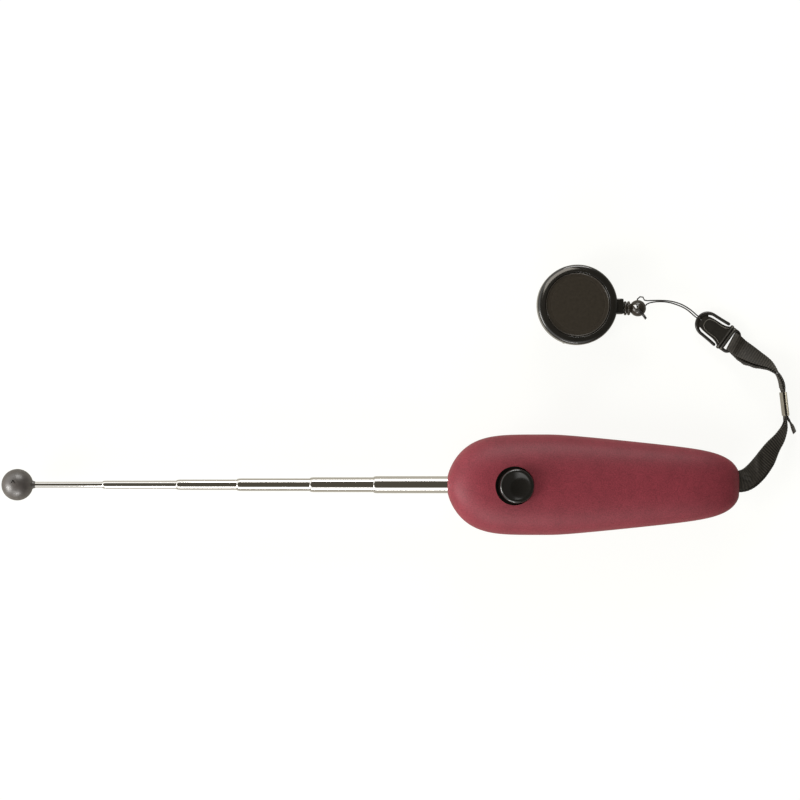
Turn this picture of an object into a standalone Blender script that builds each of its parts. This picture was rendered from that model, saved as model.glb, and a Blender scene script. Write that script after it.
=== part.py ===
"""Target stick for dog training: a telescopic pointer with a clicker in its handle.

Lengths are in metres and +Z is up. The stick lies along X: its ball points to -X and the wrist
strap leaves the handle at +X. The origin is the middle of the flat on the handle's underside.
"""

import bisect
import math

import bmesh
import bpy
from mathutils import Matrix, Vector

# Handle form, measured from its nose
NOSE_X = -0.050
HANDLE_LENGTH = 0.1165
TAIL_X = NOSE_X + HANDLE_LENGTH
HANDLE_WIDTH = 0.0400
STICK_HEIGHT = 0.0125
CROWN_RISE = 0.0146
KEEL_DROP = 0.0142
BELLY_SETBACK = 0.033
CROWN_SETBACK = 0.017
NOSE_HALF = 0.0046
NOSE_BLUNTNESS = 2.2
NOSE_SHOULDER = 1.9
TAIL_END_ALLOWANCE = 0.0005
TAIL_FULLNESS = 9.0
TAIL_ROUNDNESS = 2.2
TAPER_POWER = 1.2
WIDTH_TAPER = 0.32
CROWN_TAPER = 0.38
KEEL_TAPER = 0.22
SECTION_SQUARENESS = 2.2
HANDLE_WALL = 0.0020
PARTING_GAP = 0.0002
SEAT_GAP = 0.0003
TOUCH_GAP = 0.0001
FORM_STATIONS = 21
FORM_HALF_STEPS = 13
CAVITY_STATIONS = 12
CAVITY_HALF_STEPS = 8

# Steel pin that holds the strap, measured from the handle's tail
PIN_FROM_TAIL = 0.0065
PIN_X = TAIL_X - PIN_FROM_TAIL
PIN_RADIUS = 0.00125
PIN_LENGTH = 0.0150
PIN_FIT = 0.0002
PIN_CHEEK_THICKNESS = 0.0016
PIN_CHEEK_WALL = 0.0016
PIN_CHEEK_CLEARANCE = 0.0008
PIN_CHEEK_FRONT = PIN_X - PIN_RADIUS - PIN_CHEEK_WALL

# Telescopic stick, thinnest section first
ROD_DIAMETER = 0.0023
DIAMETER_STEP = 0.0009
TUBE_WALL = 0.00025
SECTION_COUNT = 6
GUIDE_SETBACK = 0.0012
PLUG_FLANGE = 0.0014
PLUG_CLEARANCE = 0.00005
GUIDE_LENGTH = PIN_CHEEK_FRONT - PLUG_CLEARANCE - PLUG_FLANGE - GUIDE_SETBACK - NOSE_X
GUIDE_ROOM = 0.0045
SECTION_LENGTH = GUIDE_LENGTH - GUIDE_ROOM
SHOWN_LENGTHS = (0.0277, 0.0296, 0.0242, 0.0292, 0.0254, 0.0295)
NECK_LENGTH = 0.0014
NECK_CLEARANCE = 0.00006
NECK_LIP_WALL = 0.00014
FLARE_LENGTH = 0.0006
FLARE_RISE = 0.00011
BUSH_LENGTH = 0.0045
BUSH_CLEARANCE = 0.00004
BUSH_SETBACK = 0.0003
TUBE_SIDES = 16
PLUG_SPIGOT = 0.0024
PLUG_SPIGOT_CLEARANCE = 0.0002

# Ball on the tip
BALL_DIAMETER = 0.0125
BALL_NECK_LENGTH = 0.0022
BALL_NECK_RADIUS = 0.00175
BALL_BORE_CLEARANCE = 0.0002
BALL_BORE_END = 0.0022
BALL_SIDES = 20
BALL_RINGS = 12

# Button and clicker
BUTTON_X = -0.0236
BUTTON_TILT = math.radians(7.0)
BUTTON_RADIUS = 0.00695
BUTTON_PROUD = 0.0036
BUTTON_DISH = 0.0007
BUTTON_EDGE = 0.0009
BUTTON_HOLE_CLEARANCE = 0.00075
BUTTON_FLANGE_WIDTH = 0.0016
BUTTON_FLANGE_THICKNESS = 0.0008
BUTTON_TRAVEL = 0.0015
BUTTON_STEM_RADIUS = 0.0020
BUTTON_SIDES = 24
LEAF_THICKNESS = 0.0003
LEAF_WIDTH = 0.0100
LEAF_LENGTH = 0.0250
LEAF_DIMPLE = 0.0006
LEAF_DIMPLE_RADIUS = 0.0042
BASE_LENGTH = 0.0300
BASE_WALL = 0.0012
BASE_FREE_SPACE = 0.0015
BASE_FOOT_CLEARANCE = 0.0009
LEAF_PAD_LENGTH = 0.0070
PAD_SETBACK = 0.0003
RIVET_RADIUS = 0.0009
RIVET_HEAD_RADIUS = 0.0015
RIVET_HEAD_THICKNESS = 0.0006
RIVET_SPACING = 0.0056

# Screws, cradles and the strap's slot
SCREW_PLACES = ((-0.0300, 0.0125), (-0.0300, -0.0125), (0.0360, 0.0095), (0.0360, -0.0095))
SCREW_RADIUS = 0.0011
SCREW_HEAD_RADIUS = 0.0020
SCREW_HEAD_THICKNESS = 0.0014
SCREW_HEAD_RECESS = 0.0008
SCREW_REACH = 0.0055
SCREW_FIT = 0.0002
SCREW_SIDES = 12
BOSS_WALL = 0.0014
CRADLE_PLACES = (-0.0435, 0.0200, 0.0480)
CRADLE_THICKNESS = 0.0020
STRAP_MOUTH_Y = 0.0013
STRAP_MOUTH_CLEARANCE = 0.0006

# Strap webbing and its crimped ferrule
WEBBING_WIDTH = 0.0080
WEBBING_THICKNESS = 0.00085
WEBBING_SQUEEZED = 0.00042
LAYER_GAP = 0.00010
SQUEEZE_RUN = 0.0022
LAYER_STATIONS = 17
EYE_STEPS = 6
EYE_START = 0.6
EYE_END = 2.3
FERRULE_TOP = Vector((TAIL_X + 0.01966, 0.0370, 0.0047))
FERRULE_FOOT = Vector((TAIL_X + 0.02079, 0.02756, 0.0047))
FERRULE_WALL = 0.00045
FERRULE_HEIGHT = 0.0092
FERRULE_CLEARANCE = 0.00012
TAIL_LENGTH = 0.0066
TAIL_TURN = math.radians(24.0)

# Plastic hook at the strap's end
HOOK_NOSE = Vector((TAIL_X - 0.01481, 0.06802, 0.0019))
HOOK_TURN = math.radians(-36.0)
HOOK_ROD_RADIUS = 0.00060
HOOK_HALF_WIDTH = 0.0059
HOOK_NOSE_LENGTH = 0.0055
HOOK_ARM_END = 0.0127
HOOK_PLATE_THICKNESS = 0.0022
HOOK_PANEL_RISE = 0.0003
HOOK_PANEL_INSET = 0.0008
HOOK_TIP = 0.0022
HOOK_WEB_THICKNESS = 0.0009
HOOK_WEB_END = 0.0033
HOOK_BAR_SETBACK = 0.0144
HOOK_BAR_RADIUS = 0.00095
HOOK_BAR_HALF_HEIGHT = 0.00125
HOOK_BAR_HALF_LENGTH = 0.0056
HOOK_EYE_CENTRE = 0.0017
HOOK_EYE_HALF_WIDTH = 0.0008
HOOK_EYE_HALF_LENGTH = 0.00045
STRAP_BAR_SETBACK = 0.0186
STRAP_BAR_RADIUS = 0.00065
STRAP_BAR_HALF_LENGTH = 0.0047
STRAP_FRAME_THICKNESS = 0.0019
STRAP_FRAME_CORNER = 0.0014
HOOK_CUT = 2 * HOOK_PLATE_THICKNESS

# Retractable reel, placed so that the ball on its cord lies by the hook
END_BALL_X = TAIL_X - 0.0395
REEL_RADIUS = 0.01605
NOZZLE_REACH = 0.00245
NOZZLE_END = REEL_RADIUS + NOZZLE_REACH
END_NECK_START = NOZZLE_END + 0.0004
END_NECK_TO_BALL = 0.0060
END_BALL_SETBACK = END_NECK_START + END_NECK_TO_BALL
REEL_CENTRE = Vector((END_BALL_X - END_BALL_SETBACK, 0.0720, 0.0))
REEL_FLOOR = 0.0034
REEL_PARTING = 0.0094
REEL_TOP = 0.0146
REEL_WALL = 0.0012
REEL_EDGE = 0.0014
FACE_MARGIN = 0.0033
FACE_RADIUS = REEL_RADIUS - FACE_MARGIN
FACE_RECESS = 0.0006
FACE_THICKNESS = 0.0008
REEL_SIDES = 32
NOZZLE_WIDTH = 0.0062
NOZZLE_Y = -0.0006
NOZZLE_BORE = 0.0018
NOZZLE_FLARE = 0.0028
AXLE_RADIUS = 0.0018
SPOOL_RIM_ROOM = 0.00305
SPOOL_RADIUS = REEL_RADIUS - REEL_WALL - SPOOL_RIM_ROOM
SPOOL_GROOVE = 0.0040
SPOOL_CORE_RADIUS = SPOOL_RADIUS - SPOOL_GROOVE
SPOOL_WALL = 0.0009
SPOOL_FLANGE = 0.0008
SPOOL_HEIGHT = 0.0052
SPOOL_CLEARANCE = 0.0004
SPOOL_SIDES = 20
THRUST_RING = 0.0002
THRUST_RING_WIDTH = 0.0014
WOUND_THICKNESS = 0.0024
WOUND_CLEARANCE = 0.0002
REEL_CORD_RADIUS = 0.0004
SPRING_STRIP = 0.00025
SPRING_HEIGHT = 0.0032
SPRING_TURNS = 3.25
SPRING_STEPS_PER_TURN = 12

# Moulded end of the reel's cord
END_AXIS_Y = -0.0010
END_RIB_PLACES = (END_NECK_START + 0.00035, END_NECK_START + 0.00195)
END_RIB_RADIUS = 0.0029
END_RIB_HALF = 0.0005
END_NECK_RADIUS = 0.0018
END_BALL_RADIUS = 0.0031
END_BORE_RADIUS = 0.0007
END_BORE_DEPTH = 0.0030
END_EYE_RADIUS = 0.00085
END_EYE_PLACE = Vector((END_BALL_X - 0.0009, REEL_CENTRE.y - 0.00075, REEL_PARTING))
END_SIDES = 14

# Steel belt clip on the reel's back
CLIP_WIDTH = 0.0105
CLIP_STEEL = 0.0006
CLIP_LENGTH = 0.0300
CLIP_SEAT_REACH = 0.0045
CLIP_BEND = 0.0080
CLIP_CREST = 0.0110
CLIP_TIP = 0.0136
CLIP_CREST_RISE = 0.0007
CLIP_TIP_RISE = 0.0001
CLIP_RIVET_BORE = 0.0014
CLIP_RIVET_REACH = 0.0019
CLIP_RIVET_HEAD = 0.0032

# Thin loop between the hook and the reel's cord end
LOOP_CORD_RADIUS = 0.00026
LOOP_CORD_POINTS = 66


def plain_material(name, colour, roughness, metallic=0.0):
    """A Principled material with one colour."""
    material = bpy.data.materials.get(name)
    if material is None:
        material = bpy.data.materials.new(name)
        material.use_nodes = True
        shader = material.node_tree.nodes["Principled BSDF"]
        shader.inputs["Base Color"].default_value = (*colour, 1.0)
        shader.inputs["Roughness"].default_value = roughness
        shader.inputs["Metallic"].default_value = metallic
        material.diffuse_color = (*colour, 1.0)
    return material


def soft_touch():
    return plain_material("plum soft-touch plastic", (0.21, 0.045, 0.058), 0.55)


def gloss_black():
    return plain_material("gloss black plastic", (0.012, 0.012, 0.011), 0.16)


def matt_black():
    return plain_material("matt black plastic", (0.018, 0.017, 0.015), 0.45)


def chrome():
    return plain_material("chromed steel", (0.72, 0.72, 0.73), 0.12, 1.0)


def brass():
    return plain_material("brass", (0.62, 0.46, 0.20), 0.3, 1.0)


def zinc_steel():
    return plain_material("zinc-plated steel", (0.50, 0.50, 0.49), 0.32, 1.0)


def grey_rubber():
    return plain_material("dark grey rubber", (0.07, 0.066, 0.062), 0.5)


def webbing():
    return plain_material("black ribbed webbing", (0.025, 0.024, 0.022), 0.8)


def add_part(name, mesh, material, matrix=None, smooth_angle=35.0):
    """Link a mesh to the scene as one named sub-part."""
    part = bpy.data.objects.new(name, mesh)
    bpy.context.scene.collection.objects.link(part)
    part.data.materials.clear()
    part.data.materials.append(material)
    part.data.shade_smooth()
    part.data.set_sharp_from_angle(angle=math.radians(smooth_angle))
    if matrix is not None:
        part.matrix_world = matrix
    return part


def finish_mesh(form, name="form"):
    """Turn a bmesh into a mesh whose faces point out."""
    bmesh.ops.remove_doubles(form, verts=form.verts, dist=1e-7)
    bmesh.ops.recalc_face_normals(form, faces=form.faces)
    mesh = bpy.data.meshes.new(name)
    form.to_mesh(mesh)
    form.free()
    return mesh


def lofted(rings):
    """A closed solid through rings that all have the same number of points."""
    form = bmesh.new()
    loops = [[form.verts.new(point) for point in ring] for ring in rings]
    count = len(loops[0])
    for near, far in zip(loops, loops[1:]):
        for index in range(count):
            after = (index + 1) % count
            form.faces.new((near[index], near[after], far[after], far[index]))
    form.faces.new(loops[0])
    form.faces.new(loops[-1])
    # Twisted four-sided faces aren't flat, so they are split before anything cuts them
    form.normal_update()
    bmesh.ops.triangulate(form, faces=form.faces)
    return finish_mesh(form)


def turned(profile, sides, sweep=math.tau):
    """Spin a closed profile of (radius, height) points round Z."""
    form = bmesh.new()
    points = [form.verts.new((radius, 0.0, height)) for radius, height in profile]
    whole = math.isclose(sweep, math.tau)
    edges = [form.edges.new((point, after)) for point, after in zip(points, points[1:] + points[:1])
             if point.co.x > 0.0 or after.co.x > 0.0]
    geometry = points + edges
    if not whole:
        geometry.append(form.faces.new(points))
    bmesh.ops.spin(form, geom=geometry, axis=(0, 0, 1), cent=(0, 0, 0), angle=sweep,
                   steps=sides, use_merge=whole)
    return finish_mesh(form)


def extruded(outline, low, high):
    """A prism of a flat outline between two heights."""
    return lofted([[Vector((x, y, low)) for x, y in outline],
                   [Vector((x, y, high)) for x, y in outline]])


def box(low, high):
    """A block between two opposite corners."""
    outline = ((low[0], low[1]), (high[0], low[1]), (high[0], high[1]), (low[0], high[1]))
    return extruded(outline, low[2], high[2])


def cylinder(radius, low, high, sides=20):
    """A round bar along Z."""
    return turned(((0.0, low), (radius, low), (radius, high), (0.0, high)), sides)


def combined(base, tool, operation, tool_matrix=None):
    """The exact Boolean of two meshes, as a new mesh in the base's own space."""
    first = bpy.data.objects.new("base", base)
    second = bpy.data.objects.new("tool", tool)
    for item in (first, second):
        bpy.context.scene.collection.objects.link(item)
    if tool_matrix is not None:
        second.matrix_world = tool_matrix
    modifier = first.modifiers.new("cut", "BOOLEAN")
    modifier.operation = operation
    modifier.object = second
    modifier.solver = "EXACT"
    bpy.context.view_layer.update()
    graph = bpy.context.evaluated_depsgraph_get()
    result = bpy.data.meshes.new_from_object(first.evaluated_get(graph))
    for item in (first, second):
        bpy.data.objects.remove(item, do_unlink=True)
    form = bmesh.new()
    form.from_mesh(result)
    bmesh.ops.dissolve_degenerate(form, edges=form.edges, dist=1e-6)
    return finish_mesh(form)


def along_stick(x):
    """Matrix whose Z runs along the stick towards the handle's tail, from a place on its axis."""
    return Matrix.Translation((x, 0.0, STICK_HEIGHT)) @ Matrix.Rotation(math.radians(90), 4, "Y")


def smooth_step(value):
    value = min(max(value, 0.0), 1.0)
    return value * value * (3 - 2 * value)


def curve_through(points, count):
    """Evenly spaced points on a smooth curve through hand-placed points."""
    knots = [Vector(point) for point in points]
    ends = [2 * knots[0] - knots[1], *knots, 2 * knots[-1] - knots[-2]]
    dense = []
    for before, start, end, after in zip(ends, ends[1:], ends[2:], ends[3:]):
        for step in range(24):
            t = step / 24
            dense.append(0.5 * ((2 * start) + (end - before) * t
                                + (2 * before - 5 * start + 4 * end - after) * t * t
                                + (3 * start - before - 3 * end + after) * t ** 3))
    dense.append(knots[-1])
    lengths = [0.0]
    for first, second in zip(dense, dense[1:]):
        lengths.append(lengths[-1] + (second - first).length)
    route = []
    for index in range(count):
        target = lengths[-1] * index / (count - 1)
        place = min(bisect.bisect_right(lengths, target), len(lengths) - 1)
        span = lengths[place] - lengths[place - 1]
        route.append(dense[place - 1].lerp(dense[place], (target - lengths[place - 1]) / span))
    return route


def half_size(station, full, peak, taper):
    """Half-size of the handle at a distance behind its nose."""
    if station < peak:
        away = 1 - station / peak
        swell = (1 - away ** NOSE_BLUNTNESS) ** (1 / NOSE_SHOULDER)
        return NOSE_HALF + (full - NOSE_HALF) * swell
    away = (station - peak) / (HANDLE_LENGTH + TAIL_END_ALLOWANCE - peak)
    end = (1 - away ** TAIL_FULLNESS) ** (1 / TAIL_ROUNDNESS)
    return full * (1 - taper * away ** TAPER_POWER) * end


def form_ring(station, inset, upper, steps=FORM_HALF_STEPS):
    """Half of the handle's cross-section, above or below the parting plane."""
    wide = half_size(station, HANDLE_WIDTH / 2, BELLY_SETBACK, WIDTH_TAPER) - inset
    if upper:
        tall = half_size(station, CROWN_RISE, CROWN_SETBACK, CROWN_TAPER) - inset
        side = 1.0
    else:
        tall = half_size(station, KEEL_DROP, BELLY_SETBACK, KEEL_TAPER) - inset
        side = -1.0
    ring = []
    for step in range(steps + 1):
        angle = math.pi * step / steps
        across = math.cos(angle)
        rise = math.sin(angle)
        y = wide * math.copysign(abs(across) ** (2 / SECTION_SQUARENESS), across)
        z = side * tall * max(rise, 0.0) ** (2 / SECTION_SQUARENESS)
        z = max(z, inset - STICK_HEIGHT)
        ring.append(Vector((NOSE_X + station, y, STICK_HEIGHT + z)))
    return ring


def form_stations(inset, count=FORM_STATIONS):
    """Stations along the handle, closer together at its two ends."""
    start = inset
    end = HANDLE_LENGTH - inset
    turns = [math.pi * step / (count - 1) for step in range(count)]
    return [start + (end - start) * (1 - math.cos(turn)) / 2 for turn in turns]


def half_form(inset, upper, stations=FORM_STATIONS, steps=FORM_HALF_STEPS):
    """One half of the handle's form as a solid, its flat side at the parting plane."""
    lift = PARTING_GAP / 2 if upper else -PARTING_GAP / 2
    rings = []
    for station in form_stations(inset, stations):
        ring = form_ring(station, inset, upper, steps)
        ring[0].z += lift
        ring[-1].z += lift
        rings.append(ring)
    return lofted(rings)


def cavity():
    """The hollow inside both halves, as one solid."""
    rings = []
    for station in form_stations(HANDLE_WALL, CAVITY_STATIONS):
        top = form_ring(station, HANDLE_WALL, True, CAVITY_HALF_STEPS)
        bottom = form_ring(station, HANDLE_WALL, False, CAVITY_HALF_STEPS)
        rings.append(top + bottom[-2:0:-1])
    return lofted(rings)


def tube_radius(section):
    """Outer radius of a section, where 0 is the tip rod and SECTION_COUNT the fixed guide."""
    return (ROD_DIAMETER + section * DIAMETER_STEP) / 2


def mouth_x(section):
    """Where a section's outer end lies as the stick is shown."""
    return NOSE_X - sum(SHOWN_LENGTHS[section:])


def guide_radius():
    return tube_radius(SECTION_COUNT)


def guide_channel():
    """Cutter for the guide tube's seat and for the hole in the handle's nose."""
    mouth = tube_radius(SECTION_COUNT - 1) + SEAT_GAP
    seat = guide_radius() + SEAT_GAP
    start = -0.002
    back = GUIDE_SETBACK + GUIDE_LENGTH + PLUG_FLANGE
    profile = ((0.0, start), (mouth, start), (mouth, GUIDE_SETBACK - SEAT_GAP),
               (seat, GUIDE_SETBACK - SEAT_GAP), (seat, back), (0.0, back))
    return turned(profile, TUBE_SIDES)


def strap_slot():
    """Cutter for the slot at the tail that the webbing enters through."""
    half_width = WEBBING_WIDTH / 2 + STRAP_MOUTH_CLEARANCE
    half_height = WEBBING_THICKNESS + LAYER_GAP / 2 + STRAP_MOUTH_CLEARANCE
    start = PIN_X
    end = NOSE_X + HANDLE_LENGTH + 0.002
    return box((start, STRAP_MOUTH_Y - half_width, STICK_HEIGHT - half_height),
               (end, STRAP_MOUTH_Y + half_width, STICK_HEIGHT + half_height))


def pin_cheeks(low, high):
    """Two ribs beside the strap's eye that hold the ends of its pin."""
    inner = WEBBING_WIDTH / 2 + PIN_CHEEK_CLEARANCE
    half = PIN_RADIUS + PIN_CHEEK_WALL
    cheeks = []
    for side in (-1, 1):
        near = STRAP_MOUTH_Y + side * inner
        far = near + side * PIN_CHEEK_THICKNESS
        cheeks.append(box((PIN_X - half, min(near, far), low), (PIN_X + half, max(near, far), high)))
    return cheeks


def pin_bore():
    """Cutter for the strap pin's seat."""
    radius = PIN_RADIUS + PIN_FIT
    half = PIN_LENGTH / 2 + SEAT_GAP
    return turned(((0.0, -half), (radius, -half), (radius, half), (0.0, half)), 16)


def pin_matrix():
    return (Matrix.Translation((PIN_X, STRAP_MOUTH_Y, STICK_HEIGHT))
            @ Matrix.Rotation(math.radians(90), 4, "X"))


def cradle(place, low, high):
    """A cross rib that carries the guide tube, before the tube's channel is cut."""
    half = HANDLE_WIDTH / 2
    return box((place - CRADLE_THICKNESS / 2, -half, low), (place + CRADLE_THICKNESS / 2, half, high))


def button_frame():
    """Matrix of the button: its Z leans towards the strap with the slope of the crown."""
    station = BUTTON_X - NOSE_X
    rise = half_size(station, CROWN_RISE, CROWN_SETBACK, CROWN_TAPER)
    return (Matrix.Translation((BUTTON_X, 0.0, STICK_HEIGHT + rise))
            @ Matrix.Rotation(BUTTON_TILT, 4, "Y"))


def crown_height(x, y, inset=0.0):
    """Height of the handle's top above the table, or of the ceiling inside its wall."""
    station = x - NOSE_X
    wide = half_size(station, HANDLE_WIDTH / 2, BELLY_SETBACK, WIDTH_TAPER) - inset
    tall = half_size(station, CROWN_RISE, CROWN_SETBACK, CROWN_TAPER) - inset
    return STICK_HEIGHT + tall * (1 - (abs(y) / wide) ** SECTION_SQUARENESS) ** (1 / SECTION_SQUARENESS)


def flange_level():
    """Level of the button's flange in the button's frame: just under the curved ceiling."""
    frame = button_frame()
    reach = BUTTON_RADIUS + BUTTON_FLANGE_WIDTH
    room = []
    for step in range(BUTTON_SIDES):
        turn = math.tau * step / BUTTON_SIDES
        rim = frame @ Vector((reach * math.cos(turn), reach * math.sin(turn), 0.0))
        room.append(crown_height(rim.x, rim.y, HANDLE_WALL) - rim.z)
    return min(room) / math.cos(BUTTON_TILT) - SEAT_GAP


def make_top_shell():
    """Upper half of the handle, with the button's hole, ribs and screw bosses."""
    low = STICK_HEIGHT + PARTING_GAP / 2
    high = STICK_HEIGHT + CROWN_RISE
    features = cradle(CRADLE_PLACES[0], low, high)
    for place in CRADLE_PLACES[1:]:
        features = combined(features, cradle(place, low, high), "UNION")
    for x, y in SCREW_PLACES:
        boss = cylinder(SCREW_RADIUS + SCREW_FIT + BOSS_WALL, low, high, SCREW_SIDES)
        features = combined(features, boss, "UNION", Matrix.Translation((x, y, 0.0)))
    for cheek in pin_cheeks(low, high):
        features = combined(features, cheek, "UNION")
    limit = half_form(HANDLE_WALL / 2, True, CAVITY_STATIONS, CAVITY_HALF_STEPS)
    features = combined(features, limit, "INTERSECT")
    shell = combined(half_form(0.0, True), cavity(), "DIFFERENCE")
    shell = combined(shell, strap_slot(), "DIFFERENCE")
    shell = combined(shell, features, "UNION")
    shell = combined(shell, guide_channel(), "DIFFERENCE", along_stick(NOSE_X))
    shell = combined(shell, pin_bore(), "DIFFERENCE", pin_matrix())
    for x, y in SCREW_PLACES:
        bore = cylinder(SCREW_RADIUS + SCREW_FIT, low - 0.001, low + SCREW_REACH + SEAT_GAP, SCREW_SIDES)
        shell = combined(shell, bore, "DIFFERENCE", Matrix.Translation((x, y, 0.0)))
    hole_radius = BUTTON_RADIUS + BUTTON_HOLE_CLEARANCE
    hole = cylinder(hole_radius, -2.5 * HANDLE_WALL, 2 * HANDLE_WALL, BUTTON_SIDES)
    shell = combined(shell, hole, "DIFFERENCE", button_frame())
    return add_part("handle_top_shell", shell, soft_touch())


def make_bottom_shell():
    """Lower half of the handle, with its flat rest face, cradles and screw bosses."""
    low = 0.0
    high = STICK_HEIGHT - PARTING_GAP / 2
    features = cradle(CRADLE_PLACES[0], low, high)
    for place in CRADLE_PLACES[1:]:
        features = combined(features, cradle(place, low, high), "UNION")
    for x, y in SCREW_PLACES:
        boss = cylinder(SCREW_HEAD_RADIUS + SCREW_FIT + BOSS_WALL, low, high, SCREW_SIDES)
        features = combined(features, boss, "UNION", Matrix.Translation((x, y, 0.0)))
    for cheek in pin_cheeks(low, high):
        features = combined(features, cheek, "UNION")
    limit = half_form(HANDLE_WALL / 2, False, CAVITY_STATIONS, CAVITY_HALF_STEPS)
    features = combined(features, limit, "INTERSECT")
    shell = combined(half_form(0.0, False), cavity(), "DIFFERENCE")
    shell = combined(shell, strap_slot(), "DIFFERENCE")
    shell = combined(shell, features, "UNION")
    shell = combined(shell, guide_channel(), "DIFFERENCE", along_stick(NOSE_X))
    shell = combined(shell, pin_bore(), "DIFFERENCE", pin_matrix())
    for x, y in SCREW_PLACES:
        seat = screw_seat(x, y)
        head = SCREW_HEAD_RADIUS + SCREW_FIT
        shank = SCREW_RADIUS + SCREW_FIT
        profile = ((0.0, -0.002), (head, -0.002), (head, seat), (shank, seat),
                   (shank, high + 0.001), (0.0, high + 0.001))
        shell = combined(shell, turned(profile, SCREW_SIDES), "DIFFERENCE",
                         Matrix.Translation((x, y, 0.0)))
    return add_part("handle_bottom_shell", shell, soft_touch())


def keel_height(x, y, inset=0.0):
    """Height of the handle's underside above the table, or of the floor inside its wall."""
    station = x - NOSE_X
    wide = half_size(station, HANDLE_WIDTH / 2, BELLY_SETBACK, WIDTH_TAPER) - inset
    tall = half_size(station, KEEL_DROP, BELLY_SETBACK, KEEL_TAPER) - inset
    drop = tall * (1 - (abs(y) / wide) ** SECTION_SQUARENESS) ** (1 / SECTION_SQUARENESS)
    return max(STICK_HEIGHT - drop, inset)


def screw_seat(x, y):
    """Height at which a screw's head bears, sunk below the underside."""
    deepest = keel_height(x, abs(y) + SCREW_HEAD_RADIUS)
    return deepest + SCREW_HEAD_RECESS + SCREW_HEAD_THICKNESS


def make_screws():
    """Four self-tapping screws from below."""
    for number, (x, y) in enumerate(SCREW_PLACES, start=1):
        seat = screw_seat(x, y) - SCREW_FIT
        top = STICK_HEIGHT + PARTING_GAP / 2 + SCREW_REACH
        under = seat - SCREW_HEAD_THICKNESS
        profile = ((0.0, under + 0.0005), (0.0008, under), (SCREW_HEAD_RADIUS, under),
                   (SCREW_HEAD_RADIUS, seat), (SCREW_RADIUS, seat),
                   (SCREW_RADIUS, top - 0.001), (0.0, top))
        add_part(f"handle_screw_{number}", turned(profile, SCREW_SIDES), zinc_steel(),
                 Matrix.Translation((x, y, 0.0)))


def make_strap_pin():
    half = PIN_LENGTH / 2
    add_part("strap_pin", cylinder(PIN_RADIUS, -half, half, 14), zinc_steel(), pin_matrix())


def tube_profile(section, length):
    """Wall of a drawn tube: necked in at its mouth, flared out at its inner end."""
    outer = tube_radius(section)
    inner = outer - TUBE_WALL
    lip = tube_radius(section - 1) + NECK_CLEARANCE
    return ((lip, 0.0), (lip + NECK_LIP_WALL, 0.0), (outer - 0.00005, 0.6 * NECK_LENGTH),
            (outer, NECK_LENGTH), (outer, length - 2 * FLARE_LENGTH),
            (outer + FLARE_RISE, length - FLARE_LENGTH), (outer + FLARE_RISE, length),
            (inner + FLARE_RISE, length), (inner, length - FLARE_LENGTH),
            (inner, NECK_LENGTH), (lip, 0.5 * NECK_LENGTH))


def make_sections():
    """The six sliding sections, each with a split brass bush at its inner end."""
    for section in range(SECTION_COUNT):
        name = f"stick_section_{section + 1}"
        place = along_stick(mouth_x(section))
        if section == 0:
            radius = tube_radius(0)
            start = -(BALL_NECK_LENGTH + BALL_DIAMETER / 2 - BALL_BORE_END)
            end = SECTION_LENGTH
            profile = ((0.0, start), (radius, start), (radius, end - 2 * FLARE_LENGTH),
                       (radius + FLARE_RISE, end - FLARE_LENGTH), (radius + FLARE_RISE, end),
                       (0.0, end))
            mesh = turned(profile, TUBE_SIDES)
        else:
            mesh = turned(tube_profile(section, SECTION_LENGTH), TUBE_SIDES)
        add_part(name, mesh, chrome(), place)
        near = tube_radius(section) + BUSH_CLEARANCE
        far = tube_radius(section + 1) - TUBE_WALL - BUSH_CLEARANCE
        high = SECTION_LENGTH - 2 * FLARE_LENGTH - BUSH_SETBACK
        low = high - BUSH_LENGTH
        ring = ((near, low), (far, low), (far, high), (near, high))
        sweep = math.tau * (TUBE_SIDES - 1) / TUBE_SIDES
        bush = turned(ring, TUBE_SIDES - 1, sweep)
        add_part(f"friction_bush_{section + 1}", bush, brass(), place)


def make_guide_tube():
    """The fixed tube in the handle and the plug that closes its back."""
    place = along_stick(NOSE_X + GUIDE_SETBACK)
    outer = guide_radius()
    inner = outer - TUBE_WALL
    lip = tube_radius(SECTION_COUNT - 1) + NECK_CLEARANCE
    profile = ((lip, 0.0), (outer, 0.0), (outer, GUIDE_LENGTH), (inner, GUIDE_LENGTH),
               (inner, NECK_LENGTH), (lip, 0.5 * NECK_LENGTH))
    add_part("guide_tube", turned(profile, TUBE_SIDES), zinc_steel(), place)
    start = GUIDE_LENGTH - PLUG_SPIGOT
    rim = GUIDE_LENGTH + TOUCH_GAP
    spigot = inner - PLUG_SPIGOT_CLEARANCE
    plug = ((0.0, start), (spigot, start), (spigot, rim), (outer, rim),
            (outer, GUIDE_LENGTH + PLUG_FLANGE - SEAT_GAP), (0.0, GUIDE_LENGTH + PLUG_FLANGE - SEAT_GAP))
    add_part("guide_tube_plug", turned(plug, TUBE_SIDES), matt_black(), place)


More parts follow.
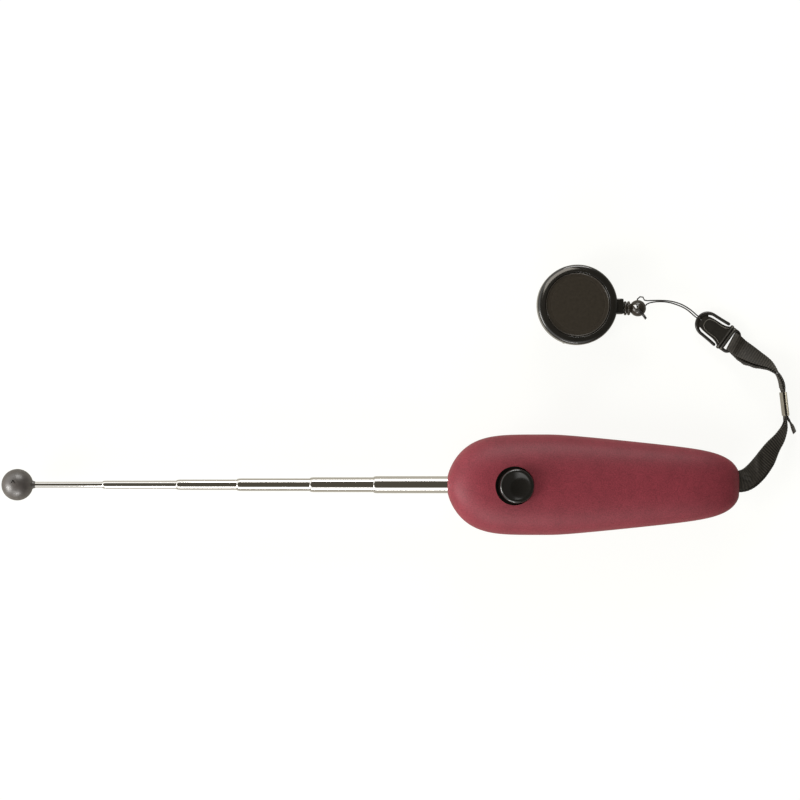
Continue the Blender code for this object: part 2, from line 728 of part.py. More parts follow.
def make_ball():
    """The target ball, with a short neck and a blind bore for the rod."""
    radius = BALL_DIAMETER / 2
    bore = tube_radius(0) + BALL_BORE_CLEARANCE
    neck_turn = math.asin(BALL_NECK_RADIUS / radius)
    profile = [(0.0, -radius)]
    for ring in range(1, BALL_RINGS):
        turn = math.pi * ring / BALL_RINGS
        if turn < math.pi - neck_turn * 1.25:
            profile.append((radius * math.sin(turn), -radius * math.cos(turn)))
    neck_foot = math.sqrt(radius ** 2 - BALL_NECK_RADIUS ** 2)
    profile.append((BALL_NECK_RADIUS + 0.0003, neck_foot + 0.0001))
    profile.append((BALL_NECK_RADIUS, neck_foot + 0.0007))
    end = radius + BALL_NECK_LENGTH
    profile.append((BALL_NECK_RADIUS - 0.0001, end - 0.0002))
    profile.append((bore + 0.0001, end))
    profile.append((bore, end - 0.0001))
    floor = BALL_BORE_END - BALL_BORE_CLEARANCE
    profile.append((bore, floor))
    profile.append((0.0, floor))
    place = along_stick(mouth_x(0) - radius - BALL_NECK_LENGTH)
    add_part("target_ball", turned(profile, BALL_SIDES), grey_rubber(), place)


def leaf_height():
    """Height of the clicker leaf's underside, on the pad of its base."""
    deck = STICK_HEIGHT + guide_radius() + SEAT_GAP + BASE_WALL
    return deck + BASE_FREE_SPACE


def base_span():
    """Both ends of the clicker base along X."""
    start = BUTTON_X - 0.36 * BASE_LENGTH
    return start, start + BASE_LENGTH


def make_button():
    """The pressed button: a dished cap, a flange that keeps it in, and a stem to the leaf."""
    frame = button_frame()
    rim = BUTTON_RADIUS
    top = BUTTON_PROUD
    under = flange_level()
    flange_low = under - BUTTON_FLANGE_THICKNESS
    flange = rim + BUTTON_FLANGE_WIDTH
    leaf_top = leaf_height() + LEAF_THICKNESS + LEAF_DIMPLE + SEAT_GAP
    stem_low = (leaf_top - frame.translation.z) / math.cos(BUTTON_TILT)
    profile = [(0.0, stem_low), (BUTTON_STEM_RADIUS, stem_low), (BUTTON_STEM_RADIUS, flange_low),
               (flange, flange_low), (flange, under), (rim, under)]
    for step in range(4):
        turn = math.radians(30 * step)
        profile.append((rim - BUTTON_EDGE * (1 - math.cos(turn)),
                        top - BUTTON_EDGE * (1 - math.sin(turn))))
    inner = rim - 1.6 * BUTTON_EDGE
    for step in range(5):
        share = step / 4
        profile.append((inner * (1 - share), top - 0.00012 - BUTTON_DISH * (1 - (1 - share) ** 2)))
    add_part("clicker_button", turned(profile, BUTTON_SIDES), gloss_black(), frame)


def make_clicker():
    """Saddle over the guide tube, the sprung leaf and the two rivets that hold its fixed end."""
    start, end = base_span()
    half = LEAF_WIDTH / 2 + BASE_WALL
    tube_top = STICK_HEIGHT + guide_radius() + SEAT_GAP
    deck = tube_top + BASE_WALL
    pad_top = leaf_height() - TOUCH_GAP
    inner = guide_radius() + SEAT_GAP
    floor = max(keel_height(x, half, HANDLE_WALL) for x in (start, end)) + BASE_FOOT_CLEARANCE
    outline = ((-half, floor), (-inner, floor), (-inner, tube_top), (inner, tube_top),
               (inner, floor), (half, floor), (half, deck), (-half, deck))
    rings = [[Vector((x, y, z)) for y, z in outline] for x in (start, end)]
    base = lofted(rings)
    pad = box((end - LEAF_PAD_LENGTH, -LEAF_WIDTH / 2, deck - BASE_WALL / 2),
              (end - PAD_SETBACK, LEAF_WIDTH / 2, pad_top))
    base = combined(base, pad, "UNION")
    rivet_x = end - LEAF_PAD_LENGTH / 2
    for side in (-1, 1):
        bore = cylinder(RIVET_RADIUS + SCREW_FIT, deck - 0.0002, pad_top + 0.001, 12)
        place = Matrix.Translation((rivet_x, side * RIVET_SPACING / 2, 0.0))
        base = combined(base, bore, "DIFFERENCE", place)
    add_part("clicker_base", base, matt_black())
    leaf = clicker_leaf_mesh(end)
    for side in (-1, 1):
        bore = cylinder(RIVET_RADIUS + SCREW_FIT, pad_top - 0.001, pad_top + 0.002, 12)
        place = Matrix.Translation((rivet_x, side * RIVET_SPACING / 2, 0.0))
        leaf = combined(leaf, bore, "DIFFERENCE", place)
    add_part("clicker_leaf", leaf, chrome())
    top = leaf_height() + LEAF_THICKNESS + TOUCH_GAP
    for number, side in enumerate((-1, 1), start=1):
        profile = ((0.0, deck), (RIVET_RADIUS, deck), (RIVET_RADIUS, top),
                   (RIVET_HEAD_RADIUS, top), (0.7 * RIVET_HEAD_RADIUS, top + RIVET_HEAD_THICKNESS),
                   (0.0, top + RIVET_HEAD_THICKNESS))
        place = Matrix.Translation((rivet_x, side * RIVET_SPACING / 2, 0.0))
        add_part(f"leaf_rivet_{number}", turned(profile, 12), brass(), place)


def clicker_leaf_mesh(end):
    """A spring-steel tongue with a round dimple pressed up under the button."""
    columns = 12
    rows = 6
    form = bmesh.new()
    sheets = []
    for lift in (0.0, LEAF_THICKNESS):
        sheet = []
        for column in range(columns + 1):
            x = end - LEAF_LENGTH * column / columns
            line = []
            for row in range(rows + 1):
                y = LEAF_WIDTH * (row / rows - 0.5)
                away = math.hypot(x - BUTTON_X, y) / LEAF_DIMPLE_RADIUS
                z = leaf_height() + lift + LEAF_DIMPLE * smooth_step(1 - away)
                line.append(form.verts.new((x, y, z)))
            sheet.append(line)
        sheets.append(sheet)
    low, high = sheets
    for column in range(columns):
        for row in range(rows):
            for sheet in sheets:
                form.faces.new((sheet[column][row], sheet[column + 1][row],
                                sheet[column + 1][row + 1], sheet[column][row + 1]))
    for column in range(columns):
        for row in (0, rows):
            form.faces.new((low[column][row], low[column + 1][row],
                            high[column + 1][row], high[column][row]))
    for row in range(rows):
        for column in (0, columns):
            form.faces.new((low[column][row], low[column][row + 1],
                            high[column][row + 1], high[column][row]))
    return finish_mesh(form)


def hook_matrix():
    return Matrix.Translation(HOOK_NOSE) @ Matrix.Rotation(HOOK_TURN, 4, "Z")


def on_hook(along, across, lift=0.0):
    """A point given from the hook's nose, along and across its own axis."""
    return hook_matrix() @ Vector((along, across, lift))


def webbing_centre():
    """Centre line of the doubled webbing from the hook's bar to the strap pin, with its roll.

    Each knot is a place and the roll of the webbing there: 0 lies flat, 90 stands on edge.
    """
    upper = [(on_hook(STRAP_BAR_SETBACK, 0.0), 0.0),
             (Vector((TAIL_X + 0.0033, 0.0549, 0.0021)), 10.0),
             (Vector((TAIL_X + 0.0089, 0.0514, 0.0029)), 30.0),
             (Vector((TAIL_X + 0.0139, 0.0481, 0.0038)), 50.0),
             (Vector((TAIL_X + 0.0175, 0.0444, 0.0045)), 74.0),
             (Vector((TAIL_X + 0.01915, 0.0409, 0.0047)), 87.0),
             (FERRULE_TOP, 90.0)]
    lower = [(FERRULE_FOOT, 90.0),
             (Vector((TAIL_X + 0.0199, 0.0229, 0.0052)), 78.0),
             (Vector((TAIL_X + 0.0181, 0.0187, 0.0061)), 58.0),
             (Vector((TAIL_X + 0.0155, 0.0146, 0.0072)), 38.0),
             (Vector((TAIL_X + 0.0123, 0.0104, 0.0086)), 20.0),
             (Vector((TAIL_X + 0.0083, 0.0061, 0.0104)), 8.0),
             (Vector((TAIL_X + 0.0040, 0.0027, 0.0120)), 1.0),
             (Vector((TAIL_X - 0.0001, STRAP_MOUTH_Y, STICK_HEIGHT)), 0.0),
             (Vector((PIN_X, STRAP_MOUTH_Y, STICK_HEIGHT)), 0.0)]
    return upper, lower


def framed(knots, count):
    """Stations along one stretch of webbing: place, direction, face normal and width direction."""
    places = curve_through([place for place, _ in knots], count)
    known = [0.0]
    for (first, _), (second, _) in zip(knots, knots[1:]):
        known.append(known[-1] + (second - first).length)
    stations = []
    for index, place in enumerate(places):
        before = places[max(index - 1, 0)]
        after = places[min(index + 1, count - 1)]
        along = (after - before).normalized()
        share = known[-1] * index / (count - 1)
        slot = min(bisect.bisect_right(known, share), len(known) - 1)
        blend = (share - known[slot - 1]) / (known[slot] - known[slot - 1])
        roll = math.radians(knots[slot - 1][1] * (1 - blend) + knots[slot][1] * blend)
        outward = Vector((-along.y, along.x, 0.0)).normalized()
        up = along.cross(outward) * -1
        up = up if up.z > 0 else -up
        normal = (up * math.cos(roll) + outward * math.sin(roll)).normalized()
        stations.append((place, along, normal, along.cross(normal)))
    return stations


def layer(stations, offset_at, thickness_at, squeeze):
    """Cross-sections of one layer of webbing beside the centre line."""
    rings = []
    for station, grip in zip(stations, squeeze):
        place, _, normal, across = station
        rings.append((place + normal * offset_at(grip), normal, across, thickness_at(grip)))
    return rings


def ring_corners(place, normal, across, thickness, width=WEBBING_WIDTH):
    half = normal * thickness / 2
    side = across * width / 2
    return [place - half - side, place + half - side, place + half + side, place - half + side]


def make_webbing():
    """One strip of webbing: free tail, ferrule, hook bar, ferrule, strap pin, ferrule."""
    upper_knots, lower_knots = webbing_centre()
    upper = framed(upper_knots, LAYER_STATIONS)
    lower = framed(lower_knots, LAYER_STATIONS + 3)
    pitch = (WEBBING_THICKNESS + LAYER_GAP) / 2
    tight = WEBBING_SQUEEZED + LAYER_GAP

    def grip_from(stations, end):
        return [smooth_step(1 - (station[0] - end).length / SQUEEZE_RUN) for station in stations]

    def thickness_at(grip):
        return WEBBING_THICKNESS + (WEBBING_SQUEEZED - WEBBING_THICKNESS) * grip

    def blend(loose, gripped):
        return lambda grip: loose + (gripped - loose) * grip

    upper_grip = grip_from(upper, FERRULE_TOP)
    lower_grip = grip_from(lower, FERRULE_FOOT)
    bar_reach = STRAP_BAR_RADIUS + SEAT_GAP + WEBBING_THICKNESS / 2
    pin_reach = PIN_RADIUS + SEAT_GAP + WEBBING_THICKNESS / 2

    def spread(stations, rings, centre, reach, side):
        """Open the two layers apart near a bar that they fold round."""
        opened = []
        for station, (place, normal, across, thickness) in zip(stations, rings):
            distance = (station[0] - centre).length
            if distance < 0.2 * reach:
                continue
            near = smooth_step((EYE_END * reach - distance) / ((EYE_END - EYE_START) * reach))
            wanted = side * (pitch + (reach - pitch) * near)
            opened.append((station[0] + normal * wanted if near > 0 else place,
                           normal, across, thickness))
        return opened

    outer_up = layer(upper, blend(pitch, tight), thickness_at, upper_grip)
    inner_up = layer(upper, blend(-pitch, 0.0), thickness_at, upper_grip)
    outer_low = layer(lower, blend(pitch, 0.0), thickness_at, lower_grip)
    inner_low = layer(lower, blend(-pitch, -tight), thickness_at, lower_grip)
    bar = on_hook(STRAP_BAR_SETBACK, 0.0)
    pin = Vector((PIN_X, STRAP_MOUTH_Y, STICK_HEIGHT))
    outer_up = spread(upper, outer_up, bar, bar_reach, 1)
    inner_up = spread(upper, inner_up, bar, bar_reach, -1)
    outer_low = spread(lower, outer_low, pin, pin_reach, 1)
    inner_low = spread(lower, inner_low, pin, pin_reach, -1)

    def fold(station, centre, reach, way, face):
        """The half turn round a bar from one layer to the other, which turns the strip over."""
        _, along, normal, across = station
        rings = []
        for step in range(EYE_STEPS + 1):
            turn = math.pi * step / EYE_STEPS
            outward = normal * math.cos(turn) + along * math.sin(turn) * way
            rings.append((centre + outward * reach, outward * face, across, WEBBING_THICKNESS))
        return rings

    def turned_over(rings):
        return [(place, -normal, across, thickness) for place, normal, across, thickness in rings]

    ferrule_run = FERRULE_FOOT - FERRULE_TOP
    along = ferrule_run.normalized()
    outward = Vector((-along.y, along.x, 0.0))
    across = along.cross(outward)

    def in_ferrule(offset, shares):
        return [(FERRULE_TOP + ferrule_run * share + outward * offset, outward, across,
                 WEBBING_SQUEEZED) for share in shares]

    tail = []
    for step in range(5, 0, -1):
        share = step / 5
        turn = TAIL_TURN * smooth_step(share * 1.6)
        way = (along * math.cos(turn / 2) + outward * math.sin(turn / 2)).normalized()
        place = FERRULE_FOOT + outward * tight + way * TAIL_LENGTH * share
        facing = (outward * math.cos(turn) - along * math.sin(turn)).normalized()
        thickness = thickness_at(1 - smooth_step(3 * share))
        tail.append((place + outward * (thickness - WEBBING_SQUEEZED) * 1.2, facing, across, thickness))
    path = tail
    path += in_ferrule(tight, (1.0, 0.5, 0.0))
    path += outer_up[-2::-1]
    path += fold(upper[0], bar, bar_reach, -1, 1)
    path += turned_over(inner_up[:-1])
    path += turned_over(in_ferrule(0.0, (0.0, 0.5, 1.0)))
    path += turned_over(outer_low[1:])
    path += fold(lower[-1], pin, pin_reach, 1, -1)
    path += inner_low[:0:-1]
    path += in_ferrule(-tight, (1.0, 0.5, 0.06))
    rings = [ring_corners(*station) for station in path]
    add_part("strap_webbing", lofted(rings), webbing(), smooth_angle=50.0)


def make_ferrule():
    """Folded metal crimp: a channel that is open along its top."""
    run = FERRULE_FOOT - FERRULE_TOP
    layers = 3 * WEBBING_SQUEEZED + 2 * LAYER_GAP
    inner = layers / 2 + FERRULE_CLEARANCE
    outer = inner + FERRULE_WALL
    bottom = -WEBBING_WIDTH / 2 - FERRULE_CLEARANCE - FERRULE_WALL
    floor = bottom + FERRULE_WALL
    top = bottom + FERRULE_HEIGHT
    rim = 0.6 * FERRULE_WALL
    outline = ((-outer, bottom + rim), (-outer + rim, bottom), (outer - rim, bottom),
               (outer, bottom + rim), (outer, top - rim), (outer - rim / 2, top), (inner, top),
               (inner, floor), (-inner, floor), (-inner, top), (-outer + rim / 2, top),
               (-outer, top - rim))
    along = run.normalized()
    outward = Vector((-along.y, along.x, 0.0))
    rings = []
    for end in (FERRULE_TOP, FERRULE_FOOT):
        rings.append([end + outward * across + Vector((0.0, 0.0, lift)) for across, lift in outline])
    add_part("strap_ferrule", lofted(rings), zinc_steel())


def hook_arm_route():
    """Centre line of the hook's rod: two straight arms and a round nose, in the hook's own plane."""
    half = HOOK_HALF_WIDTH - HOOK_ROD_RADIUS
    nose = HOOK_NOSE_LENGTH - HOOK_ROD_RADIUS
    route = [Vector((HOOK_ARM_END, half, 0.0)), Vector((0.75 * HOOK_ARM_END, half, 0.0))]
    for step in range(13):
        turn = math.pi * step / 12
        route.append(Vector((HOOK_NOSE_LENGTH - nose * math.sin(turn), half * math.cos(turn), 0.0)))
    route.append(Vector((0.75 * HOOK_ARM_END, -half, 0.0)))
    route.append(Vector((HOOK_ARM_END, -half, 0.0)))
    return route


def flat_rod(route, radius, sides=8):
    """A round rod along a route that stays in one level plane."""
    rings = []
    for index, place in enumerate(route):
        before = route[max(index - 1, 0)]
        after = route[min(index + 1, len(route) - 1)]
        along = (after - before).normalized()
        side = Vector((-along.y, along.x, 0.0))
        up = Vector((0.0, 0.0, 1.0))
        ring = []
        for step in range(sides):
            turn = math.tau * (step + 0.5) / sides
            ring.append(place + side * radius * math.cos(turn) + up * radius * math.sin(turn))
        rings.append(ring)
    return lofted(rings)


def tongue_outline(inset=0.0):
    """The hook's tongue: a round tip behind the rod's nose, a waist and a wide root."""
    side = ((HOOK_TIP, 0.0010), (HOOK_TIP + 0.0006, 0.0021), (HOOK_TIP + 0.0015, 0.0028),
            (0.0046, 0.0031), (0.0062, 0.0033), (0.0080, 0.0031),
            (0.0098, 0.0029), (0.0116, 0.0031), (0.0130, 0.0037), (HOOK_BAR_SETBACK, 0.0042))
    upper = [(along, across - inset) for along, across in side]
    return [(along, -across) for along, across in upper] + upper[::-1]


def web_outline():
    """Thin web that joins the rod's nose to the tongue."""
    half = HOOK_HALF_WIDTH - HOOK_ROD_RADIUS
    nose = HOOK_NOSE_LENGTH - HOOK_ROD_RADIUS
    outline = []
    for step in range(11):
        turn = math.radians(38 + 10.4 * step)
        outline.append((HOOK_NOSE_LENGTH - nose * math.sin(turn), half * math.cos(turn)))
    return [(HOOK_WEB_END, outline[0][1]), *outline, (HOOK_WEB_END, outline[-1][1])]


def make_hook():
    """One-piece moulded hook: rod with two free arms, tongue, cross bar and strap frame."""
    plate = HOOK_PLATE_THICKNESS / 2
    web = HOOK_WEB_THICKNESS / 2
    hook = flat_rod(hook_arm_route(), HOOK_ROD_RADIUS)
    hook = combined(hook, extruded(web_outline(), -web, web), "UNION")
    hook = combined(hook, extruded(tongue_outline(), -plate, plate), "UNION")
    panel = [(along, across) for along, across in tongue_outline(HOOK_PANEL_INSET)
             if HOOK_TIP + 0.0010 < along < HOOK_BAR_SETBACK - 0.0004]
    panel_top = plate + HOOK_PANEL_RISE
    hook = combined(hook, extruded(panel, 0.0, panel_top), "UNION")
    bar = []
    for place, thickness in ((-1.0, 0.75), (-0.84, 1.0), (0.84, 1.0), (1.0, 0.75)):
        ring = []
        for step in range(10):
            turn = math.tau * (step + 0.5) / 10
            ring.append(Vector((HOOK_BAR_SETBACK + thickness * HOOK_BAR_RADIUS * math.cos(turn),
                                place * HOOK_BAR_HALF_LENGTH,
                                thickness * HOOK_BAR_HALF_HEIGHT * math.sin(turn))))
        bar.append(ring)
    hook = combined(hook, lofted(bar), "UNION")
    hook = combined(hook, strap_frame(), "UNION")
    eye = box((HOOK_EYE_CENTRE - HOOK_EYE_HALF_LENGTH, -HOOK_EYE_HALF_WIDTH, -HOOK_CUT),
              (HOOK_EYE_CENTRE + HOOK_EYE_HALF_LENGTH, HOOK_EYE_HALF_WIDTH, HOOK_CUT))
    hook = combined(hook, eye, "DIFFERENCE")
    add_part("hook_clip", hook, matt_black(), hook_matrix())


def strap_frame():
    """Rectangular loop behind the cross bar, with a round far bar for the webbing."""
    near = HOOK_BAR_SETBACK - 0.2 * HOOK_BAR_RADIUS
    far = STRAP_BAR_SETBACK + STRAP_BAR_RADIUS
    half = STRAP_BAR_HALF_LENGTH + STRAP_BAR_RADIUS
    corner = STRAP_FRAME_CORNER
    outline = [(near, -half), (near, half)]
    for step in range(5):
        turn = math.radians(90 - 22.5 * step)
        outline.append((far - corner + corner * math.cos(turn), half - corner + corner * math.sin(turn)))
    for step in range(5):
        turn = math.radians(-22.5 * step)
        outline.append((far - corner + corner * math.cos(turn), corner - half + corner * math.sin(turn)))
    thick = STRAP_FRAME_THICKNESS / 2
    frame = extruded(outline, -thick, thick)
    slot_near = HOOK_BAR_SETBACK + HOOK_BAR_RADIUS + 0.0003
    slot_far = STRAP_BAR_SETBACK - STRAP_BAR_RADIUS
    slot_half = WEBBING_WIDTH / 2 + SEAT_GAP
    slot = box((slot_near, -slot_half, -HOOK_CUT), (slot_far, slot_half, HOOK_CUT))
    frame = combined(frame, slot, "DIFFERENCE")
    for side in (-1, 1):
        low, high = sorted((side * STRAP_BAR_RADIUS, side * HOOK_CUT))
        relief = box((slot_far - 0.0008, -slot_half, low), (far + 0.001, slot_half, high))
        frame = combined(frame, relief, "DIFFERENCE")
    return frame


def reel_matrix(height=0.0):
    return Matrix.Translation(REEL_CENTRE + Vector((0.0, 0.0, height)))


def nozzle_block(low, high):
    """Half of the reel's square nozzle."""
    half = NOZZLE_WIDTH / 2
    inside = REEL_RADIUS - 1.3 * REEL_WALL
    return box((inside, NOZZLE_Y - half, low), (NOZZLE_END, NOZZLE_Y + half, high))


def nozzle_bore():
    """Cutter for the cord's way out of the reel, flared on the inside."""
    bore = NOZZLE_BORE / 2
    profile = ((0.0, 0.0), (NOZZLE_FLARE, 0.0), (bore, NOZZLE_FLARE), (bore, 0.0080), (0.0, 0.0080))
    return turned(profile, 12)


def nozzle_matrix():
    return (Matrix.Translation((REEL_RADIUS - 2.5 * REEL_WALL, NOZZLE_Y, REEL_PARTING))
            @ Matrix.Rotation(math.radians(90), 4, "Y"))


def make_reel_shells():
    """Front and back halves of the reel's round housing."""
    inner = REEL_RADIUS - REEL_WALL
    front_low = REEL_PARTING + PARTING_GAP / 2
    back_high = REEL_PARTING - PARTING_GAP / 2
    bevel = (REEL_RADIUS - 0.0012, REEL_TOP - 0.0017)
    recess = REEL_TOP - FACE_RECESS - FACE_THICKNESS
    seat = FACE_RADIUS + SEAT_GAP
    profile = ((inner, front_low), (REEL_RADIUS, front_low), (REEL_RADIUS, REEL_TOP - 0.0034),
               (REEL_RADIUS - 0.0003, REEL_TOP - 0.0025), bevel,
               (REEL_RADIUS - 0.0022, REEL_TOP - 0.0006), (seat + 0.0004, REEL_TOP),
               (seat, REEL_TOP - 0.0001), (seat, recess), (0.0, recess),
               (0.0, recess - REEL_WALL), (inner, recess - REEL_WALL))
    front = turned(profile, REEL_SIDES)
    front = combined(front, nozzle_block(front_low, REEL_PARTING + NOZZLE_WIDTH / 2), "UNION")
    front = combined(front, nozzle_bore(), "DIFFERENCE", nozzle_matrix())
    add_part("reel_front_shell", front, gloss_black(), reel_matrix())
    floor = REEL_FLOOR + REEL_WALL
    thrust = AXLE_RADIUS + THRUST_RING_WIDTH
    post_top = recess - REEL_WALL - SEAT_GAP
    rivet = CLIP_RIVET_BORE
    pocket = REEL_FLOOR + CLIP_RIVET_REACH + SEAT_GAP
    profile = ((rivet, REEL_FLOOR), (REEL_RADIUS - REEL_EDGE, REEL_FLOOR),
               (REEL_RADIUS - 0.3 * REEL_EDGE, REEL_FLOOR + 0.3 * REEL_EDGE),
               (REEL_RADIUS, REEL_FLOOR + REEL_EDGE), (REEL_RADIUS, back_high), (inner, back_high),
               (inner, floor), (thrust, floor), (thrust, floor + THRUST_RING),
               (AXLE_RADIUS, floor + THRUST_RING), (AXLE_RADIUS, post_top), (0.0, post_top),
               (0.0, pocket), (rivet, pocket))
    back = turned(profile, REEL_SIDES)
    back = combined(back, nozzle_block(REEL_PARTING - NOZZLE_WIDTH / 2, back_high), "UNION")
    back = combined(back, nozzle_bore(), "DIFFERENCE", nozzle_matrix())
    add_part("reel_back_shell", back, gloss_black(), reel_matrix())
    low = recess + TOUCH_GAP
    disc = ((0.0, low), (FACE_RADIUS, low), (FACE_RADIUS, low + FACE_THICKNESS - 0.0002),
            (FACE_RADIUS - 0.0002, low + FACE_THICKNESS), (0.0, low + FACE_THICKNESS))
    add_part("reel_face_disc", turned(disc, REEL_SIDES), gloss_black(), reel_matrix())


def spool_floor():
    return REEL_FLOOR + REEL_WALL + THRUST_RING + SPOOL_CLEARANCE


def make_spool():
    """Spool with a groove for the cord above and a drum for its spring below."""
    low = spool_floor()
    high = low + SPOOL_HEIGHT
    hub = AXLE_RADIUS + SEAT_GAP
    drum = SPOOL_CORE_RADIUS
    profile = ((hub, high), (hub, high - SPOOL_FLANGE), (drum - SPOOL_WALL, high - SPOOL_FLANGE),
               (drum - SPOOL_WALL, low), (SPOOL_RADIUS, low), (SPOOL_RADIUS, low + SPOOL_FLANGE),
               (drum, low + SPOOL_FLANGE), (drum, high - SPOOL_FLANGE),
               (SPOOL_RADIUS, high - SPOOL_FLANGE), (SPOOL_RADIUS, high))
    add_part("reel_spool", turned(profile, SPOOL_SIDES), matt_black(), reel_matrix())
    near = drum + WOUND_CLEARANCE
    far = near + WOUND_THICKNESS
    bottom = low + SPOOL_FLANGE + WOUND_CLEARANCE
    top = high - SPOOL_FLANGE - WOUND_CLEARANCE
    middle = (bottom + top) / 2
    edge = far - WOUND_CLEARANCE
    wound = ((near, bottom), (edge, bottom), (far, middle), (edge, top), (near, top))
    add_part("reel_cord_winding", turned(wound, SPOOL_SIDES), webbing(), reel_matrix())


def make_reel_spring():
    """Flat spiral spring between the axle and the spool's drum."""
    low = spool_floor() + 0.0003
    high = low + SPRING_HEIGHT
    start = AXLE_RADIUS + SEAT_GAP
    end = SPOOL_CORE_RADIUS - SPOOL_WALL - SEAT_GAP - SPRING_STRIP
    steps = round(SPRING_TURNS * SPRING_STEPS_PER_TURN)
    rings = []
    for step in range(steps + 1):
        turn = math.tau * SPRING_TURNS * step / steps
        radius = start + (end - start) * step / steps
        way = Vector((math.cos(turn), math.sin(turn), 0.0))
        inner = way * radius
        outer = way * (radius + SPRING_STRIP)
        rings.append([inner + Vector((0, 0, low)), outer + Vector((0, 0, low)),
                      outer + Vector((0, 0, high)), inner + Vector((0, 0, high))])
    add_part("reel_spring", lofted(rings), zinc_steel(), reel_matrix())


def cord_object(name, route, radius, material, resolution=2):
    """A round cord as a curve with a bevel and filled ends."""
    curve = bpy.data.curves.new(name, "CURVE")
    curve.dimensions = "3D"
    curve.bevel_depth = radius
    curve.bevel_resolution = resolution
    curve.use_fill_caps = True
    spline = curve.splines.new("POLY")
    spline.points.add(len(route) - 1)
    for point, place in zip(spline.points, route):
        point.co = (*place, 1.0)
    curve.materials.append(material)
    cord = bpy.data.objects.new(name, curve)
    bpy.context.scene.collection.objects.link(cord)
    return cord


def end_matrix():
    """Frame of the moulded cord end: Z runs from the nozzle towards the ball."""
    return (Matrix.Translation(REEL_CENTRE + Vector((0.0, END_AXIS_Y, REEL_PARTING)))
            @ Matrix.Rotation(math.radians(90), 4, "Y"))


def make_reel_cord():
    """Cord from the spool's winding, out through the nozzle and into its moulded end."""
    around = SPOOL_CORE_RADIUS + WOUND_THICKNESS + REEL_CORD_RADIUS + SEAT_GAP
    centre = REEL_CENTRE + Vector((0.0, 0.0, REEL_PARTING))
    exit_point = Vector((NOZZLE_END - 0.0028, (NOZZLE_Y + END_AXIS_Y) / 2, 0.0))
    lean = math.acos(around / exit_point.length)
    level = spool_floor() + SPOOL_HEIGHT / 2 - REEL_PARTING
    tangent = Vector((around * math.cos(lean), around * math.sin(lean), level))
    early = tangent.lerp(exit_point, 0.55) + Vector((0.0, 0.0002, 0.0))
    stop = END_NECK_START + END_BORE_DEPTH - SEAT_GAP
    knots = [centre + tangent, centre + early, centre + exit_point,
             centre + Vector((NOZZLE_END, END_AXIS_Y, 0.0)), centre + Vector((stop, END_AXIS_Y, 0.0))]
    cord_object("reel_cord", curve_through(knots, 12), REEL_CORD_RADIUS, webbing())


def make_cord_end():
    """Ribbed neck and ball, moulded in one on the end of the reel's cord."""
    profile = [(END_BORE_RADIUS, END_NECK_START + END_BORE_DEPTH), (END_BORE_RADIUS, END_NECK_START)]
    for place in END_RIB_PLACES:
        profile += [(END_NECK_RADIUS, place - END_RIB_HALF + 0.00015),
                    (END_RIB_RADIUS - 0.0003, place - 0.6 * END_RIB_HALF),
                    (END_RIB_RADIUS, place),
                    (END_RIB_RADIUS - 0.0003, place + 0.6 * END_RIB_HALF),
                    (END_NECK_RADIUS, place + END_RIB_HALF + 0.0001)]
    profile[2] = (END_NECK_RADIUS, END_NECK_START)
    start = math.asin(END_NECK_RADIUS / END_BALL_RADIUS)
    for step in range(9):
        turn = start + (math.pi - start) * step / 8
        profile.append((END_BALL_RADIUS * math.sin(turn) if step < 8 else 0.0,
                        END_BALL_SETBACK - END_BALL_RADIUS * math.cos(turn)))
    profile.append((0.0, END_NECK_START + END_BORE_DEPTH))
    mesh = turned(profile, END_SIDES)
    eye = cylinder(END_EYE_RADIUS, -1.3 * END_BALL_RADIUS, 1.3 * END_BALL_RADIUS, 12)
    place = Matrix.Translation(END_EYE_PLACE)
    mesh = combined(mesh, eye, "DIFFERENCE", end_matrix().inverted() @ place)
    add_part("cord_end_ball", mesh, gloss_black(), end_matrix())


def make_belt_clip():
    """Sprung steel clip on the reel's back, folded over at one end, and its rivet."""
    half = CLIP_WIDTH / 2
    seat = REEL_FLOOR - TOUCH_GAP
    back = -CLIP_LENGTH / 2
    steel = CLIP_STEEL
    fold = (seat - steel) / 2
    centre = steel / 2 + fold
    route = [(CLIP_SEAT_REACH, seat - steel / 2), (back + fold, seat - steel / 2)]
    for step in range(1, 6):
        turn = math.pi * step / 6
        route.append((back + fold - fold * math.sin(turn), centre + fold * math.cos(turn)))
    route += [(back + fold, steel / 2), (CLIP_BEND, steel / 2 + CLIP_TIP_RISE),
              (CLIP_CREST, steel / 2 + CLIP_CREST_RISE), (CLIP_TIP, steel / 2 + CLIP_TIP_RISE)]
    rings = []
    for index, (y, z) in enumerate(route):
        before = route[max(index - 1, 0)]
        after = route[min(index + 1, len(route) - 1)]
        along = Vector((0.0, after[0] - before[0], after[1] - before[1])).normalized()
        side = Vector((0.0, -along.z, along.y)) * steel / 2
        middle = Vector((0.0, y, z))
        across = Vector((half, 0.0, 0.0))
        rings.append([middle - side - across, middle + side - across,
                      middle + side + across, middle - side + across])
    clip = lofted(rings)
    bore = cylinder(CLIP_RIVET_BORE, seat - 2 * steel, seat + steel, 16)
    clip = combined(clip, bore, "DIFFERENCE")
    add_part("belt_clip", clip, chrome(), reel_matrix())
    head = seat - steel - TOUCH_GAP
    pin = CLIP_RIVET_BORE - SCREW_FIT
    top = REEL_FLOOR + CLIP_RIVET_REACH
    profile = ((0.0, head - RIVET_HEAD_THICKNESS), (0.7 * CLIP_RIVET_HEAD / 2, head - RIVET_HEAD_THICKNESS),
               (CLIP_RIVET_HEAD / 2, head), (pin, head), (pin, top), (0.0, top))
    add_part("clip_rivet", turned(profile, 16), zinc_steel(), reel_matrix())


